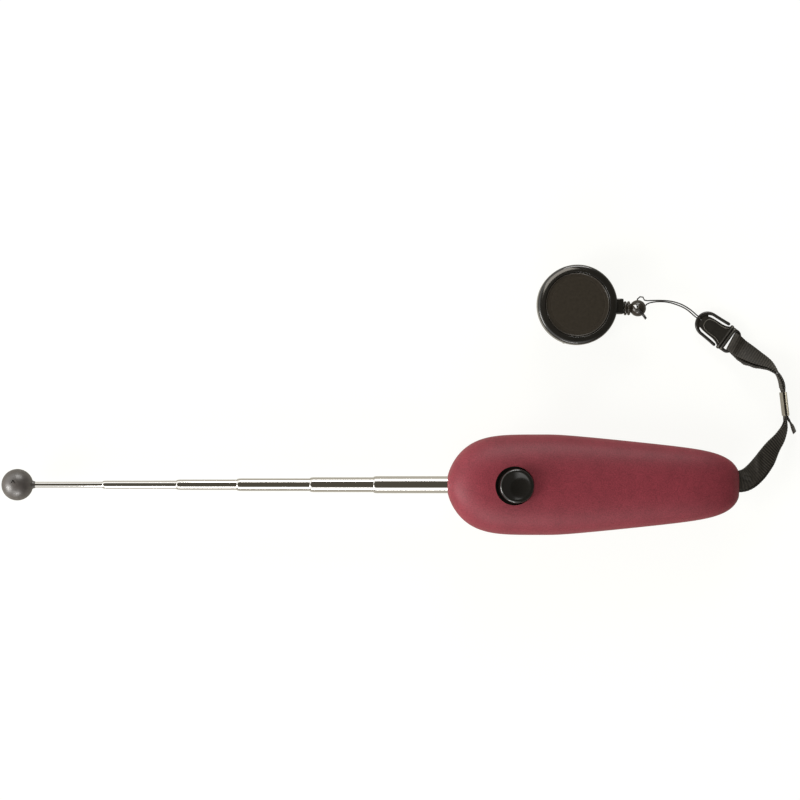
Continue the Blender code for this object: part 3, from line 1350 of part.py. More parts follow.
def make_loop_cord():
    """Thin cord: two ends through the ball's eye, two strands to the hook, a bight in its nose."""
    eye = END_EYE_PLACE
    level = REEL_PARTING
    tail = Vector((END_BALL_X + 0.0030, 0.0668, level - 0.0012))
    over = HOOK_ROD_RADIUS + LOOP_CORD_RADIUS + SEAT_GAP

    def from_ball(places):
        return [Vector((END_BALL_X + along, across, height)) for along, across, height in places]

    around = [on_hook(-0.0002, 0.0002, over), on_hook(0.0008, 0.0002, 1.1 * over),
              on_hook(HOOK_EYE_CENTRE - 0.0001, 0.0001, 0.75 * over),
              on_hook(HOOK_EYE_CENTRE, 0.0, 0.0),
              on_hook(HOOK_EYE_CENTRE - 0.0001, -0.0001, -0.75 * over),
              on_hook(0.0008, -0.0002, -1.1 * over), on_hook(-0.0002, -0.0004, -over)]
    upper = from_ball([(0.00245, 0.07370, 0.0098), (0.0054, 0.0738, 0.0098), (0.0084, 0.07385, 0.0092),
                      (0.0115, 0.07385, 0.0083), (0.0146, 0.07350, 0.0072), (0.0177, 0.07290, 0.0058),
                      (0.0202, 0.07195, 0.0047), (0.0226, 0.07040, 0.0036)])
    lower = from_ball([(0.0225, 0.06960, 0.0014), (0.0208, 0.07085, 0.0024), (0.0185, 0.07185, 0.0038),
                      (0.0154, 0.07275, 0.0052), (0.0123, 0.07330, 0.0065), (0.0096, 0.07345, 0.0074),
                      (0.0070, 0.07335, 0.0081), (0.0046, 0.07295, 0.0086), (0.0034, 0.07255, 0.0086)])
    ring = from_ball([(0.00215, 0.07385, 0.0094), (0.00195, 0.07485, 0.0088), (0.0011, 0.07550, 0.0081),
                     (0.0000, 0.07500, 0.0072), (-0.0006, 0.07370, 0.0064)])
    first_tail = [tail, *from_ball([(0.0017, 0.0681, level + 0.0020), (0.0003, 0.0696, level + 0.00335)]),
                  eye + Vector((0.0004, -0.0001, 0.0032)), eye + Vector((0.0003, 0.0001, 0.0)),
                  eye + Vector((0.0003, 0.0004, -0.0032))]
    second_tail = [eye + Vector((-0.0001, -0.0001, -0.0036)), eye + Vector((-0.0003, -0.0002, 0.0)),
                   eye + Vector((-0.0003, -0.0006, 0.0034)),
                   *from_ball([(-0.0002, 0.0691, level + 0.0036), (0.0013, 0.0676, level + 0.0021)]),
                   tail + Vector((-0.0006, -0.0005, 0.0))]
    knots = first_tail + ring[::-1] + upper + around + lower
    knots += from_ball([(0.0030, 0.0720, 0.0064), (0.0012, 0.0714, 0.0056)]) + second_tail
    cord_object("loop_cord", curve_through(knots, LOOP_CORD_POINTS), LOOP_CORD_RADIUS, webbing())


def main():
    for item in list(bpy.data.objects):
        bpy.data.objects.remove(item, do_unlink=True)
    make_top_shell()
    make_bottom_shell()
    make_screws()
    make_strap_pin()
    make_guide_tube()
    make_sections()
    make_ball()
    make_button()
    make_clicker()
    make_webbing()
    make_ferrule()
    make_hook()
    make_loop_cord()
    make_reel_shells()
    make_spool()
    make_reel_spring()
    make_reel_cord()
    make_cord_end()
    make_belt_clip()


main()
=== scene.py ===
import bisect
import math

import bmesh
import bpy
from bpy.props import FloatProperty, FloatVectorProperty, PointerProperty
from bpy.types import Operator, Panel, PropertyGroup
from mathutils import Matrix, Vector


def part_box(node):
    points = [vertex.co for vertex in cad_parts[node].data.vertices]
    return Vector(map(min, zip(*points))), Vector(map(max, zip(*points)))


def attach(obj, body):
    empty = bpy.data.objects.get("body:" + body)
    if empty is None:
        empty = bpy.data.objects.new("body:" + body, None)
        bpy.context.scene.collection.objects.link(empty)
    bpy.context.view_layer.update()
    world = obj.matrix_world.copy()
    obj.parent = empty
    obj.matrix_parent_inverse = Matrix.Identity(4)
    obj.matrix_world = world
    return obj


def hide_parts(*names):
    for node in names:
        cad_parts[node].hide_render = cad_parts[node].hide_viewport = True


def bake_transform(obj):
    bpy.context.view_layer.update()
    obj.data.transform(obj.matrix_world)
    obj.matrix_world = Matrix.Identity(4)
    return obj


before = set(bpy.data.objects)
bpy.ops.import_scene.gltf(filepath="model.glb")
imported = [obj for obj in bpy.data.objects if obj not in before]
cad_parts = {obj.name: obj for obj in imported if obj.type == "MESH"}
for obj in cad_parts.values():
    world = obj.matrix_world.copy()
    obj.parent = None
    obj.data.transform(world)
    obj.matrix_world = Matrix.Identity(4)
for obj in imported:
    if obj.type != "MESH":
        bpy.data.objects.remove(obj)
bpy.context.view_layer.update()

bl_info = {
    "name": "Target Stick Looks",
    "version": (1, 0, 0),
    "blender": (4, 5, 0),
    "location": "3D View > Sidebar > Target Stick",
    "description": "Dresses the packed stick: coated handle, chromed stick, strap, hook and reel",
    "category": "Object",
}

MM = 0.001
LEVEL_Y_TURN = Matrix.Rotation(math.radians(90), 4, "Y")

# Handle form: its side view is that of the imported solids, its plan is fitted closer to the photo
NOSE_X = -0.050
HANDLE_LENGTH = 0.1165
TAIL_X = NOSE_X + HANDLE_LENGTH
HANDLE_WIDTH = 0.0402
STICK_HEIGHT = 0.0125
CROWN_RISE = 0.0146
KEEL_DROP = 0.0142
BELLY_SETBACK = 0.033
CROWN_SETBACK = 0.017
CROWN_TAPER = 0.38
KEEL_TAPER = 0.22
# How a profile swells from the nose and closes at the tail, seen from the side and from above
SIDE_FORM = {"nose": 0.0046, "bluntness": 2.2, "shoulder": 1.9, "allowance": 0.0005,
             "fullness": 9.0, "roundness": 2.2, "power": 1.2, "ease": 0.02}
PLAN_FORM = {"nose": 0.00236, "bluntness": 4.578, "shoulder": 1.442, "allowance": 0.0007,
             "fullness": 11.6, "roundness": 2.595, "power": 1.107, "ease": 0.05}
PLAN_PEAK = 0.0402
PLAN_TAPER = 0.374
SECTION_SQUARENESS = 2.2
FORM_STATIONS = 91
FORM_STEPS = 44
HANDLE_WALL = 0.0020
HOLLOW_STATIONS = 26
HOLLOW_STEPS = 14
PARTING_GAP = 0.0002
SCREW_PLACES = ((-0.0300, 0.0125), (-0.0300, -0.0125), (0.0360, 0.0095), (0.0360, -0.0095))
SCREW_HEAD_RADIUS = 0.0020
SCREW_WELL_CLEARANCE = 0.0002
SCREW_WELL_DEPTH = 0.0058
BORE_CLEARANCE = 0.0003
BORE_REACH = 0.0040
STRAP_MOUTH_HALF_WIDTH = 0.0046
STRAP_MOUTH_HALF_HEIGHT = 0.0015

# Stick
SECTION_COUNT = 6
SECTION_LENGTH = 0.100
SHOWN_LENGTHS = (0.0277, 0.0296, 0.0242, 0.0292, 0.0254, 0.0295)
TUBE_WALL = 0.00025
TUBE_FLARE = 0.00011
TUBE_LIP_CLEARANCE = 0.00006
ROD_REACH = 0.0040
BALL_RADIUS = 0.00630
BALL_NECK_RADIUS = 0.00165
BALL_NECK_GAP = 0.0003
BALL_NICK_HEIGHT = 0.0059
BALL_NICK_OUTLINE = ((-0.0007, -0.00020), (0.0007, -0.00020), (0.0007, 0.00020), (-0.0007, 0.00020))
# The two nicks on the ball: along the stick from its centre, across it, and turn in degrees
BALL_NICKS = ((-0.00125, 0.0014, 62.0), (-0.00045, 0.0014, 118.0))

# Button
BUTTON_X = -0.0236
BUTTON_TILT = math.radians(7.0)
BUTTON_PROUD = 0.0036
BUTTON_HOLE_CLEARANCE = 0.00090
BUTTON_HOLE_BOTTOM = -0.005
BUTTON_HOLE_TOP = 0.004
BUTTON_SHIFT = 0.00035
BUTTON_STEM_RADIUS = 0.0020
BUTTON_STEM_GAP = 0.0004
BUTTON_FLANGE_REACH = 0.0015
BUTTON_FLANGE_LOW = -0.0042
BUTTON_FLANGE_HIGH = -0.0036
# Corners of the cap's rim: in from its radius, down from its top, and how far each is rounded
BUTTON_RIM = ((-0.00005, -0.00060, 0.0006), (-0.00030, -0.00030, 0.0002),
              (-0.00082, -0.00002, 0.00015), (-0.00115, -0.00004, 0.0))
BUTTON_DISH_INSET = 0.00125
BUTTON_DISH_DROP = 0.00006

# Clicker leaf
LEAF_THICKNESS = 0.0003
LEAF_DIMPLE = 0.0006
LEAF_DIMPLE_RADIUS = 0.0042
LEAF_COLUMNS = 50
LEAF_ROWS = 20

# Strap
PIN_X = TAIL_X - 0.0065
PIN_RADIUS = 0.00125
STRAP_MOUTH_Y = 0.0013
WEBBING_THICKNESS = 0.00085
WEBBING_SQUEEZED = 0.00032
LAYER_GAP = 0.00003
SQUEEZE_RUN = 0.0022
# The lower layer by the hook lies aside and waves; both layers at the handle are a little apart
UNDER_WAVE = 0.0040
UNDER_WAVE_SHARE = 0.11
UNDER_SPREAD = 0.0017
LOWER_DRIFTS = (0.0005, -0.0006)
SPREAD_RUN = 0.009
# The fold round the hook's bar lies askew, and this far into the frame
FOLD_SKEW = 0.19
FOLD_SKEW_RUN = 0.0075
FOLD_SETBACK = 0.0003
FOLD_PLAY = 0.0003
# Creases of the bent webbing: two ends of the crest in plan, half width and height
CREASES = ((Vector((TAIL_X + 0.0078, 0.0124)), Vector((TAIL_X + 0.0084, 0.0038)), 0.0010, 0.00095),
           (Vector((TAIL_X + 0.0096, 0.0135)), Vector((TAIL_X + 0.0101, 0.0050)), 0.0009, -0.00050),
           (Vector((TAIL_X + 0.0006, 0.0041)), Vector((TAIL_X + 0.0060, 0.0027)), 0.0008, 0.00080),
           (Vector((TAIL_X + 0.0010, 0.0022)), Vector((TAIL_X + 0.0058, 0.0009)), 0.0009, -0.00045))
RIB_DEPTH_SHARE = 0.18
RIB_EDGE_DEPTH = 0.00010
FERRULE_TOP = Vector((TAIL_X + 0.0189, 0.0370, 0.0047))
FERRULE_FOOT = Vector((TAIL_X + 0.0200, 0.02756, 0.0047))
FERRULE_PLAY = 0.00008
FERRULE_WALL = 0.00030
FERRULE_BOTTOM = -0.0040 - 0.00012
FERRULE_HEIGHT = 0.0092
FERRULE_PINCH = 0.00006
TAIL_LENGTH = 0.0075
TAIL_TURN = math.radians(29.0)
TAIL_LEAN = math.radians(15.0)
TAIL_STEPS = 8

# Hook
HOOK_NOSE = Vector((TAIL_X - 0.01521, 0.06752, 0.0019))
HOOK_TURN = math.radians(-36.0)
HOOK_ROD_RADIUS = 0.00064
HOOK_NOSE_BAND = 0.00085
HOOK_NOSE_HALF = 0.00545
HOOK_HALF_WIDTH = 0.00575
HOOK_NOSE_LENGTH = 0.0055
HOOK_ARM_END = 0.0120
HOOK_EYE_CENTRE = 0.0017
HOOK_EYE_RADIUS = 0.00030
HOOK_WEB_HALF_THICKNESS = 0.00045
HOOK_WEB_END = 0.0033
HOOK_TONGUE = ((0.0021, 0.0008), (0.0024, 0.0019), (0.0034, 0.0027), (0.0050, 0.0031),
               (0.0068, 0.0033), (0.0086, 0.0034), (0.0102, 0.0035), (0.0118, 0.0039),
               (0.0130, 0.0045), (0.0144, 0.0047))
HOOK_TONGUE_HALF_THICKNESS = 0.0011
HOOK_TONGUE_EDGE = 0.00028
HOOK_RIDGE = ((0.0037, 0.0), (0.0039, 0.0011), (0.0047, 0.0020), (0.0062, 0.0025),
              (0.0080, 0.0026), (0.0100, 0.0026), (0.0116, 0.0029), (0.0130, 0.0035))
HOOK_RIDGE_HEIGHT = 0.00112
HOOK_RIDGE_RADIUS = 0.00019
# Height over the hook's nose above which its ridges are painted pale as a highlight
HOOK_HIGHLIGHT_HEIGHT = 0.00120
HOOK_BAR_SETBACK = 0.0144
HOOK_BAR_HALF_HEIGHT = 0.00125
HOOK_BAR_HALF_LENGTH = 0.0056
# The two cross bars: shift along the hook, cut in half length, and radius
HOOK_BARS = ((-0.00055, 0.0, 0.00072), (0.00080, 0.0003, 0.00078))
# A cross bar's swell from one end to the other: place along it and size
HOOK_BAR_SWELL = ((-1.0, 0.40), (-0.985, 0.72), (-0.95, 0.98), (-0.90, 1.10), (-0.85, 1.12),
                  (-0.80, 1.0), (0.80, 1.0), (0.85, 1.12), (0.90, 1.10), (0.95, 0.98),
                  (0.985, 0.72), (1.0, 0.40))
STRAP_BAR_SETBACK = 0.0186
STRAP_BAR_RADIUS = 0.00070
STRAP_FRAME_HALF = 0.0046
STRAP_FRAME_CORNER = 0.0019

# Reel and the end of its cord
REEL_RADIUS = 0.01605
NOZZLE_END = REEL_RADIUS + 0.00245
END_NECK_START = NOZZLE_END + 0.0004
END_BALL_SETBACK = END_NECK_START + 0.0060
END_BALL_X = TAIL_X - 0.0395
REEL_CENTRE = Vector((END_BALL_X - END_BALL_SETBACK, 0.0720, 0.0))
REEL_FLOOR = 0.0034
REEL_PARTING = 0.0094
REEL_TOP = 0.0146
REEL_WALL = 0.0012
REEL_SEAM = 0.0001
REEL_RECESS = 0.0014
RIVET_HOLE_RADIUS = 0.0014
FACE_RADIUS = REEL_RADIUS - 0.0033
FACE_GAP = 0.00014
NOZZLE_WIDTH = 0.0062
NOZZLE_Y = -0.0006
NOZZLE_CORNER = 0.0009
SPOOL_CORE_RADIUS = 0.0078
SPOOL_LIFT = 0.0018
SPOOL_HALF_HEIGHT = 0.0026
WOUND_THICKNESS = 0.0024
REEL_CORD_RADIUS = 0.0004
REEL_CORD_GAP = 0.0003
REEL_CORD_SEAT = 0.0027
END_AXIS_Y = -0.0013
END_BORE_RADIUS = 0.0007
END_BORE_DEPTH = 0.0030
END_NECK_RADIUS = 0.0018
END_RIBS = (0.00062, 0.00198)
END_BALL_RADIUS = 0.0033
END_BALL_SHIFT = -0.0005
END_EYE_PLACE = Vector((END_BALL_X - 0.0012, REEL_CENTRE.y - 0.00065, REEL_PARTING))
END_EYE_RADIUS = 0.00150
LOOP_CORD_RADIUS = 0.00026
LOOP_CORD_POINTS = 66

# Stage: the camera stands over the middle of the photo
CAMERA_X = -0.06892
CAMERA_Y = 0.03388
FLOOR_HALF_SIZE = 6.0
FLOOR_DROP = 0.0001
NEAR_WHITE = (1.0, 0.985, 0.96)
WARM_WHITE = (1.0, 0.93, 0.82)
REEL_LAMP = "reel lamp"
# Each lamp: place, aim, size, share of the lamp power and colour
LAMPS = {
    "key lamp": ((-1.25, -0.42, 0.55), (-0.02, 0.02, 0.01), (0.60, 0.60), 1.0, NEAR_WHITE),
    "near lamp": ((-0.18, -1.00, 0.46), (-0.10, 0.0, 0.01), (0.50, 0.25), 0.30, NEAR_WHITE),
    "far lamp": ((0.05, 1.00, 0.46), (0.0, 0.0, 0.01), (0.60, 0.25), 0.34, NEAR_WHITE),
    REEL_LAMP: ((-0.088, 0.229, 0.25), (0.002, 0.072, 0.01), (0.20, 0.15), 0.034, WARM_WHITE),
}
# What the room shows to the object, in linear light: its dark and its bright walls
ROOM_DARK = (0.088, 0.079, 0.062, 1.0)
ROOM_BRIGHT = (1.32, 1.31, 1.28, 1.0)

# Rolled metals: colour, roughness and size of the grain in millimetres
METALS = {
    "zinc-plated steel, rolled": ("#B4B0A6", 0.26, 0.25),
    "zinc-plated steel strip, dull": ("#A09A8A", 0.34, 0.25),
    "spring steel, rolled": ("#9A9A9C", 0.22, 0.18),
    "brass strip, rolled": ("#C8A564", 0.28, 0.2),
}

# Directions of the rings that dome a rod's end, from its tip to its full width
DOME_TURNS = [math.radians(turn) for turn in (8, 35, 65, 90)]


def linear(code):
    """Scene-linear colour from an sRGB hex code."""
    parts = [int(code[index:index + 2], 16) / 255 for index in (1, 3, 5)]
    return tuple(part / 12.92 if part <= 0.04045 else ((part + 0.055) / 1.055) ** 2.4
                 for part in parts)


def add_node(tree, kind, inputs=None, **settings):
    """Add a shader node, with its settings, plain values and links."""
    node = tree.nodes.new(kind)
    for name, value in settings.items():
        setattr(node, name, value)
    for socket, value in (inputs or {}).items():
        if isinstance(value, bpy.types.NodeSocket):
            tree.links.new(value, node.inputs[socket])
        else:
            node.inputs[socket].default_value = value
    return node


def blank_material(name):
    """A material with no nodes yet, and its node tree."""
    material = bpy.data.materials.new(name)
    material.use_nodes = True
    tree = material.node_tree
    tree.nodes.clear()
    return material, tree


def made_once(name, make):
    """The material of that name, made on first use."""
    return bpy.data.materials.get(name) or make()


def per_metre(size_mm):
    """Texture scale for features of a real size in millimetres."""
    return 1.0 / (size_mm * MM)


def shaded(colour, share):
    """A darker or paler tone of a colour."""
    return [part * share for part in colour]


def varied(tree, place, size_mm, dark, light):
    """Colour that wanders between two tones over patches of a real size."""
    noise = add_node(tree, "ShaderNodeTexNoise", {"Vector": place, "Scale": per_metre(size_mm),
                                                  "Detail": 4.0, "Roughness": 0.55})
    ramp = add_node(tree, "ShaderNodeValToRGB", {"Fac": noise.outputs["Fac"]})
    ramp.color_ramp.elements[0].position = 0.3
    ramp.color_ramp.elements[0].color = (*dark, 1.0)
    ramp.color_ramp.elements[1].position = 0.7
    ramp.color_ramp.elements[1].color = (*light, 1.0)
    return ramp.outputs["Color"]


def soft_touch_coating(colour, grain):
    """Rubbery paint sprayed on moulded ABS: no gloss, a fine even grain, a pale bloom at edges."""
    material, tree = blank_material("soft-touch coated ABS, moulded")
    place = add_node(tree, "ShaderNodeTexCoord").outputs["Object"]
    tone = varied(tree, place, 7.0, shaded(colour, 0.90), shaded(colour, 1.08))
    # The real grain is finer than a pixel, so it is drawn at the size that still shows
    speck = add_node(tree, "ShaderNodeTexNoise", {"Vector": place, "Scale": per_metre(grain / MM),
                                                  "Detail": 2.0})
    freckle = add_node(tree, "ShaderNodeMapRange", {
        "Value": speck.outputs["Fac"], "From Min": 0.3, "From Max": 0.7, "To Min": 0.74,
        "To Max": 1.28})
    speckled = add_node(tree, "ShaderNodeVectorMath", {0: tone, 1: freckle.outputs[0]},
                        operation="MULTIPLY")
    bump = add_node(tree, "ShaderNodeBump", {"Height": speck.outputs["Fac"], "Strength": 0.4,
                                             "Distance": 0.00012})
    surface = add_node(tree, "ShaderNodeBsdfPrincipled", {
        "Base Color": speckled.outputs[0], "Roughness": 0.52, "Normal": bump.outputs["Normal"],
        "Specular IOR Level": 0.32, "Sheen Weight": 0.06, "Sheen Roughness": 0.5,
        "Sheen Tint": (*linear("#E8C0B4"), 1.0)})
    add_node(tree, "ShaderNodeOutputMaterial", {"Surface": surface.outputs[0]})
    return material


def chromed_tube(name, colour, roughness):
    """Chrome plated on drawn steel: near mirror, with hair-fine lines left along the tube."""
    material, tree = blank_material(name)
    place = add_node(tree, "ShaderNodeTexCoord").outputs["Object"]
    stretch = add_node(tree, "ShaderNodeMapping", {"Vector": place, "Scale": (0.02, 1.0, 1.0)})
    # Real drawing lines are far finer than 0.30 mm and would not show
    lines = add_node(tree, "ShaderNodeTexNoise", {"Vector": stretch.outputs["Vector"],
                                                  "Scale": per_metre(0.30), "Detail": 1.0})
    bump = add_node(tree, "ShaderNodeBump", {"Height": lines.outputs["Fac"], "Strength": 0.007,
                                             "Distance": 0.00002})
    surface = add_node(tree, "ShaderNodeBsdfPrincipled", {
        "Base Color": (*colour, 1.0), "Metallic": 1.0, "Roughness": roughness,
        "Normal": bump.outputs["Normal"]})
    add_node(tree, "ShaderNodeOutputMaterial", {"Surface": surface.outputs[0]})
    return material


def rolled_metal(name):
    """Zinc plate or bare rolled strip: a greyer metal whose fine grain blurs what it reflects."""
    code, roughness, grain_mm = METALS[name]
    colour = linear(code)
    material, tree = blank_material(name)
    place = add_node(tree, "ShaderNodeTexCoord").outputs["Object"]
    tone = varied(tree, place, 1.6, shaded(colour, 0.86), colour)
    grain = add_node(tree, "ShaderNodeTexNoise", {"Vector": place, "Scale": per_metre(grain_mm),
                                                  "Detail": 3.0})
    bump = add_node(tree, "ShaderNodeBump", {"Height": grain.outputs["Fac"], "Strength": 0.2,
                                             "Distance": 0.00003})
    surface = add_node(tree, "ShaderNodeBsdfPrincipled", {
        "Base Color": tone, "Metallic": 1.0, "Roughness": roughness,
        "Normal": bump.outputs["Normal"]})
    add_node(tree, "ShaderNodeOutputMaterial", {"Surface": surface.outputs[0]})
    return material


def polished_black(colour):
    """ABS moulded against polished steel: deep black, a clear reflection, slight orange peel."""
    material, tree = blank_material("polished black ABS, moulded")
    place = add_node(tree, "ShaderNodeTexCoord").outputs["Object"]
    tone = varied(tree, place, 5.0, colour, shaded(colour, 1.3))
    peel = add_node(tree, "ShaderNodeTexNoise", {"Vector": place, "Scale": per_metre(1.8),
                                                 "Detail": 1.0})
    bump = add_node(tree, "ShaderNodeBump", {"Height": peel.outputs["Fac"], "Strength": 0.12,
                                             "Distance": 0.00004})
    surface = add_node(tree, "ShaderNodeBsdfPrincipled", {
        "Base Color": tone, "Roughness": 0.16, "IOR": 1.53, "Normal": bump.outputs["Normal"],
        "Coat Weight": 0.25, "Coat Roughness": 0.06})
    add_node(tree, "ShaderNodeOutputMaterial", {"Surface": surface.outputs[0]})
    return material


def satin_black(name, colour, roughness, grain_mm, highlight_from=None):
    """Plastic from a spark-eroded tool: satin black, fine texture, and ridges painted pale above a
    given height as a highlight.
    """
    material, tree = blank_material(name)
    place = add_node(tree, "ShaderNodeTexCoord").outputs["Object"]
    tone = varied(tree, place, 1.2, shaded(colour, 0.90), shaded(colour, 1.12))
    grain = add_node(tree, "ShaderNodeTexNoise", {"Vector": place, "Scale": per_metre(grain_mm),
                                                  "Detail": 2.0})
    bump = add_node(tree, "ShaderNodeBump", {"Height": grain.outputs["Fac"], "Strength": 0.3,
                                             "Distance": 0.00005})
    if highlight_from is not None:
        # Painted highlight: above this height the colour turns pale, standing in for light caught
        # on the ridge tops
        height = add_node(tree, "ShaderNodeSeparateXYZ", {0: place}).outputs["Z"]
        painted_highlight = add_node(tree, "ShaderNodeMapRange", {
            "Value": height, "From Min": highlight_from, "From Max": highlight_from + 0.00008, "To Max": 0.7})
        tone = add_node(tree, "ShaderNodeMix", {
            0: painted_highlight.outputs[0], 6: tone, 7: (*linear("#6A665D"), 1.0)},
            data_type="RGBA").outputs[2]
    surface = add_node(tree, "ShaderNodeBsdfPrincipled", {
        "Base Color": tone, "Roughness": roughness, "IOR": 1.48,
        "Normal": bump.outputs["Normal"]})
    add_node(tree, "ShaderNodeOutputMaterial", {"Surface": surface.outputs[0]})
    return material


def moulded_rubber(colour):
    """Dark grey rubber from a blasted tool: soft broad highlights and a faint pitted grain."""
    material, tree = blank_material("dark grey rubber, moulded")
    place = add_node(tree, "ShaderNodeTexCoord").outputs["Object"]
    tone = varied(tree, place, 2.2, shaded(colour, 0.82), shaded(colour, 1.15))
    pits = add_node(tree, "ShaderNodeTexNoise", {"Vector": place, "Scale": per_metre(0.35),
                                                 "Detail": 3.0})
    bump = add_node(tree, "ShaderNodeBump", {"Height": pits.outputs["Fac"], "Strength": 0.3,
                                             "Distance": 0.00006})
    surface = add_node(tree, "ShaderNodeBsdfPrincipled", {
        "Base Color": tone, "Roughness": 0.40, "IOR": 1.85, "Normal": bump.outputs["Normal"]})
    add_node(tree, "ShaderNodeOutputMaterial", {"Surface": surface.outputs[0]})
    return material


def woven_webbing(colour, yarn_mm, pitch):
    """Polypropylene yarn woven as tape with ribs across: black, with a painted highlight on each
    rib and painted shade in each valley.
    """
    material, tree = blank_material("black polypropylene grosgrain, woven")
    place = add_node(tree, "ShaderNodeTexCoord").outputs["Object"]
    woven = add_node(tree, "ShaderNodeUVMap", uv_map="weave").outputs["UV"]
    length = add_node(tree, "ShaderNodeSeparateXYZ", {0: woven}).outputs["Y"]
    # Painted light and shade: the yarn's colour is raised on each rib's crest and lowered in each
    # valley
    phase = add_node(tree, "ShaderNodeMath", {0: length, 1: math.tau / pitch},
                     operation="MULTIPLY")
    wave = add_node(tree, "ShaderNodeMath", {0: phase.outputs[0]}, operation="COSINE")
    rib = add_node(tree, "ShaderNodeMapRange", {
        "Value": wave.outputs[0], "From Min": -0.7, "From Max": 1.0, "To Min": 0.30, "To Max": 2.3})
    # Near the handle, where the webbing bends, the ribs' painted highlight and shade are weaker
    across = add_node(tree, "ShaderNodeSeparateXYZ", {0: place}).outputs["X"]
    rib_shading_share = add_node(tree, "ShaderNodeMapRange", {
        "Value": across, "From Min": TAIL_X + 0.007, "From Max": TAIL_X + 0.014, "To Min": 0.35})
    rib = add_node(tree, "ShaderNodeMix", {0: rib_shading_share.outputs[0], 2: 1.15, 3: rib.outputs[0]})
    tone = varied(tree, place, 0.8, shaded(colour, 0.75), shaded(colour, 1.3))
    rib_painted_light = add_node(tree, "ShaderNodeVectorMath", {0: tone, 1: rib.outputs[0]},
                      operation="MULTIPLY")
    yarn = add_node(tree, "ShaderNodeTexNoise", {"Vector": place, "Scale": per_metre(yarn_mm),
                                                 "Detail": 3.0, "Roughness": 0.65})
    bump = add_node(tree, "ShaderNodeBump", {"Height": yarn.outputs["Fac"], "Strength": 0.5,
                                             "Distance": 0.00010})
    surface = add_node(tree, "ShaderNodeBsdfPrincipled", {
        "Base Color": rib_painted_light.outputs[0], "Roughness": 0.60, "Normal": bump.outputs["Normal"],
        "Specular IOR Level": 0.30, "Sheen Weight": 0.04, "Sheen Roughness": 0.4,
        "Sheen Tint": (*linear("#B8B2A4"), 1.0)})
    add_node(tree, "ShaderNodeOutputMaterial", {"Surface": surface.outputs[0]})
    return material


def braided_cord(name, colour):
    """Fine polyester cord, braided: a black line with a slight sparkle from its strands."""
    material, tree = blank_material(name)
    place = add_node(tree, "ShaderNodeTexCoord").outputs["Object"]
    # Real strands are finer than 0.22 mm and would not show
    strands = add_node(tree, "ShaderNodeTexVoronoi", {"Vector": place, "Scale": per_metre(0.22)})
    bump = add_node(tree, "ShaderNodeBump", {"Height": strands.outputs["Distance"],
                                             "Strength": 0.5, "Distance": 0.00006})
    tone = varied(tree, place, 0.5, colour, shaded(colour, 1.9))
    surface = add_node(tree, "ShaderNodeBsdfPrincipled", {
        "Base Color": tone, "Roughness": 0.48, "Normal": bump.outputs["Normal"]})
    add_node(tree, "ShaderNodeOutputMaterial", {"Surface": surface.outputs[0]})
    return material


def metal(name):
    """One of the rolled metals."""
    return made_once(name, lambda: rolled_metal(name))


def cord_material():
    """The one cord that both the loop and the reel have."""
    name = "black polyester cord, braided"
    return made_once(name, lambda: braided_cord(name, linear("#211F1C")))


def gloss_plastic():
    """The one polished plastic of the button and the reel's case."""
    colour = tuple(bpy.context.scene.target_stick_button.colour)
    return made_once("polished black ABS, moulded", lambda: polished_black(colour))


def satin_plastic():
    """The one satin plastic of the reel's face and of its cord's end."""
    name = "satin black ABS, moulded"
    colour = tuple(bpy.context.scene.target_stick_reel.colour)
    return made_once(name, lambda: satin_black(name, colour, 0.26, 0.30))


def smooth_step(value):
    """0 below 0, 1 above 1 and a smooth rise between."""
    value = min(max(value, 0.0), 1.0)
    return value * value * (3 - 2 * value)


def curve_through(points, count):
    """Evenly spaced points on a smooth curve through given points."""
    knots = [Vector(point) for point in points]
    ends = [2 * knots[0] - knots[1], *knots, 2 * knots[-1] - knots[-2]]
    dense = []
    for before, start, end, after in zip(ends, ends[1:], ends[2:], ends[3:]):
        for step in range(24):
            t = step / 24
            dense.append(0.5 * ((2 * start) + (end - before) * t
                                + (2 * before - 5 * start + 4 * end - after) * t * t
                                + (3 * start - before - 3 * end + after) * t ** 3))
    dense.append(knots[-1])
    lengths = [0.0]
    for first, second in zip(dense, dense[1:]):
        lengths.append(lengths[-1] + (second - first).length)
    route = []
    for index in range(count):
        target = lengths[-1] * index / (count - 1)
        place = min(bisect.bisect_right(lengths, target), len(lengths) - 1)
        span = lengths[place] - lengths[place - 1]
        route.append(dense[place - 1].lerp(dense[place], (target - lengths[place - 1]) / span))
    return route


def filleted(corners, steps=5):
    """Soften the corners of a profile: each corner is x, y and how far its rounding reaches."""
    softened = []
    for index, (x, y, reach) in enumerate(corners):
        here = Vector((x, y))
        if reach <= 0.0 or index in (0, len(corners) - 1):
            softened.append(here)
            continue
        before = Vector(corners[index - 1][:2]) - here
        after = Vector(corners[index + 1][:2]) - here
        start = here + before.normalized() * min(reach, 0.48 * before.length)
        end = here + after.normalized() * min(reach, 0.48 * after.length)
        for step in range(steps + 1):
            t = step / steps
            softened.append(start * (1 - t) ** 2 + here * 2 * t * (1 - t) + end * t * t)
    return [tuple(point) for point in softened]


def meshed(form, name):
    """Close a bmesh into a mesh whose faces point out."""
    bmesh.ops.remove_doubles(form, verts=form.verts, dist=1e-7)
    bmesh.ops.recalc_face_normals(form, faces=form.faces)
    mesh = bpy.data.meshes.new(name)
    form.to_mesh(mesh)
    form.free()
    return mesh


def lofted(rings, name="form", matrix=None, lengths=None):
    """A closed skin through rings of equally many points; lengths become its UV map."""
    form = bmesh.new()
    weave = form.loops.layers.uv.new("weave") if lengths else None
    loops = [[form.verts.new(matrix @ Vector(point) if matrix else point) for point in ring]
             for ring in rings]
    count = len(loops[0])
    for row, (near, far) in enumerate(zip(loops, loops[1:])):
        for index in range(count):
            after = (index + 1) % count
            face = form.faces.new((near[index], near[after], far[after], far[index]))
            if lengths:
                corners = ((index, row), (index + 1, row), (index + 1, row + 1), (index, row + 1))
                for loop, (column, station) in zip(face.loops, corners):
                    loop[weave].uv = (column / count, lengths[station])
    form.faces.new(loops[0])
    form.faces.new(loops[-1])
    return meshed(form, name)


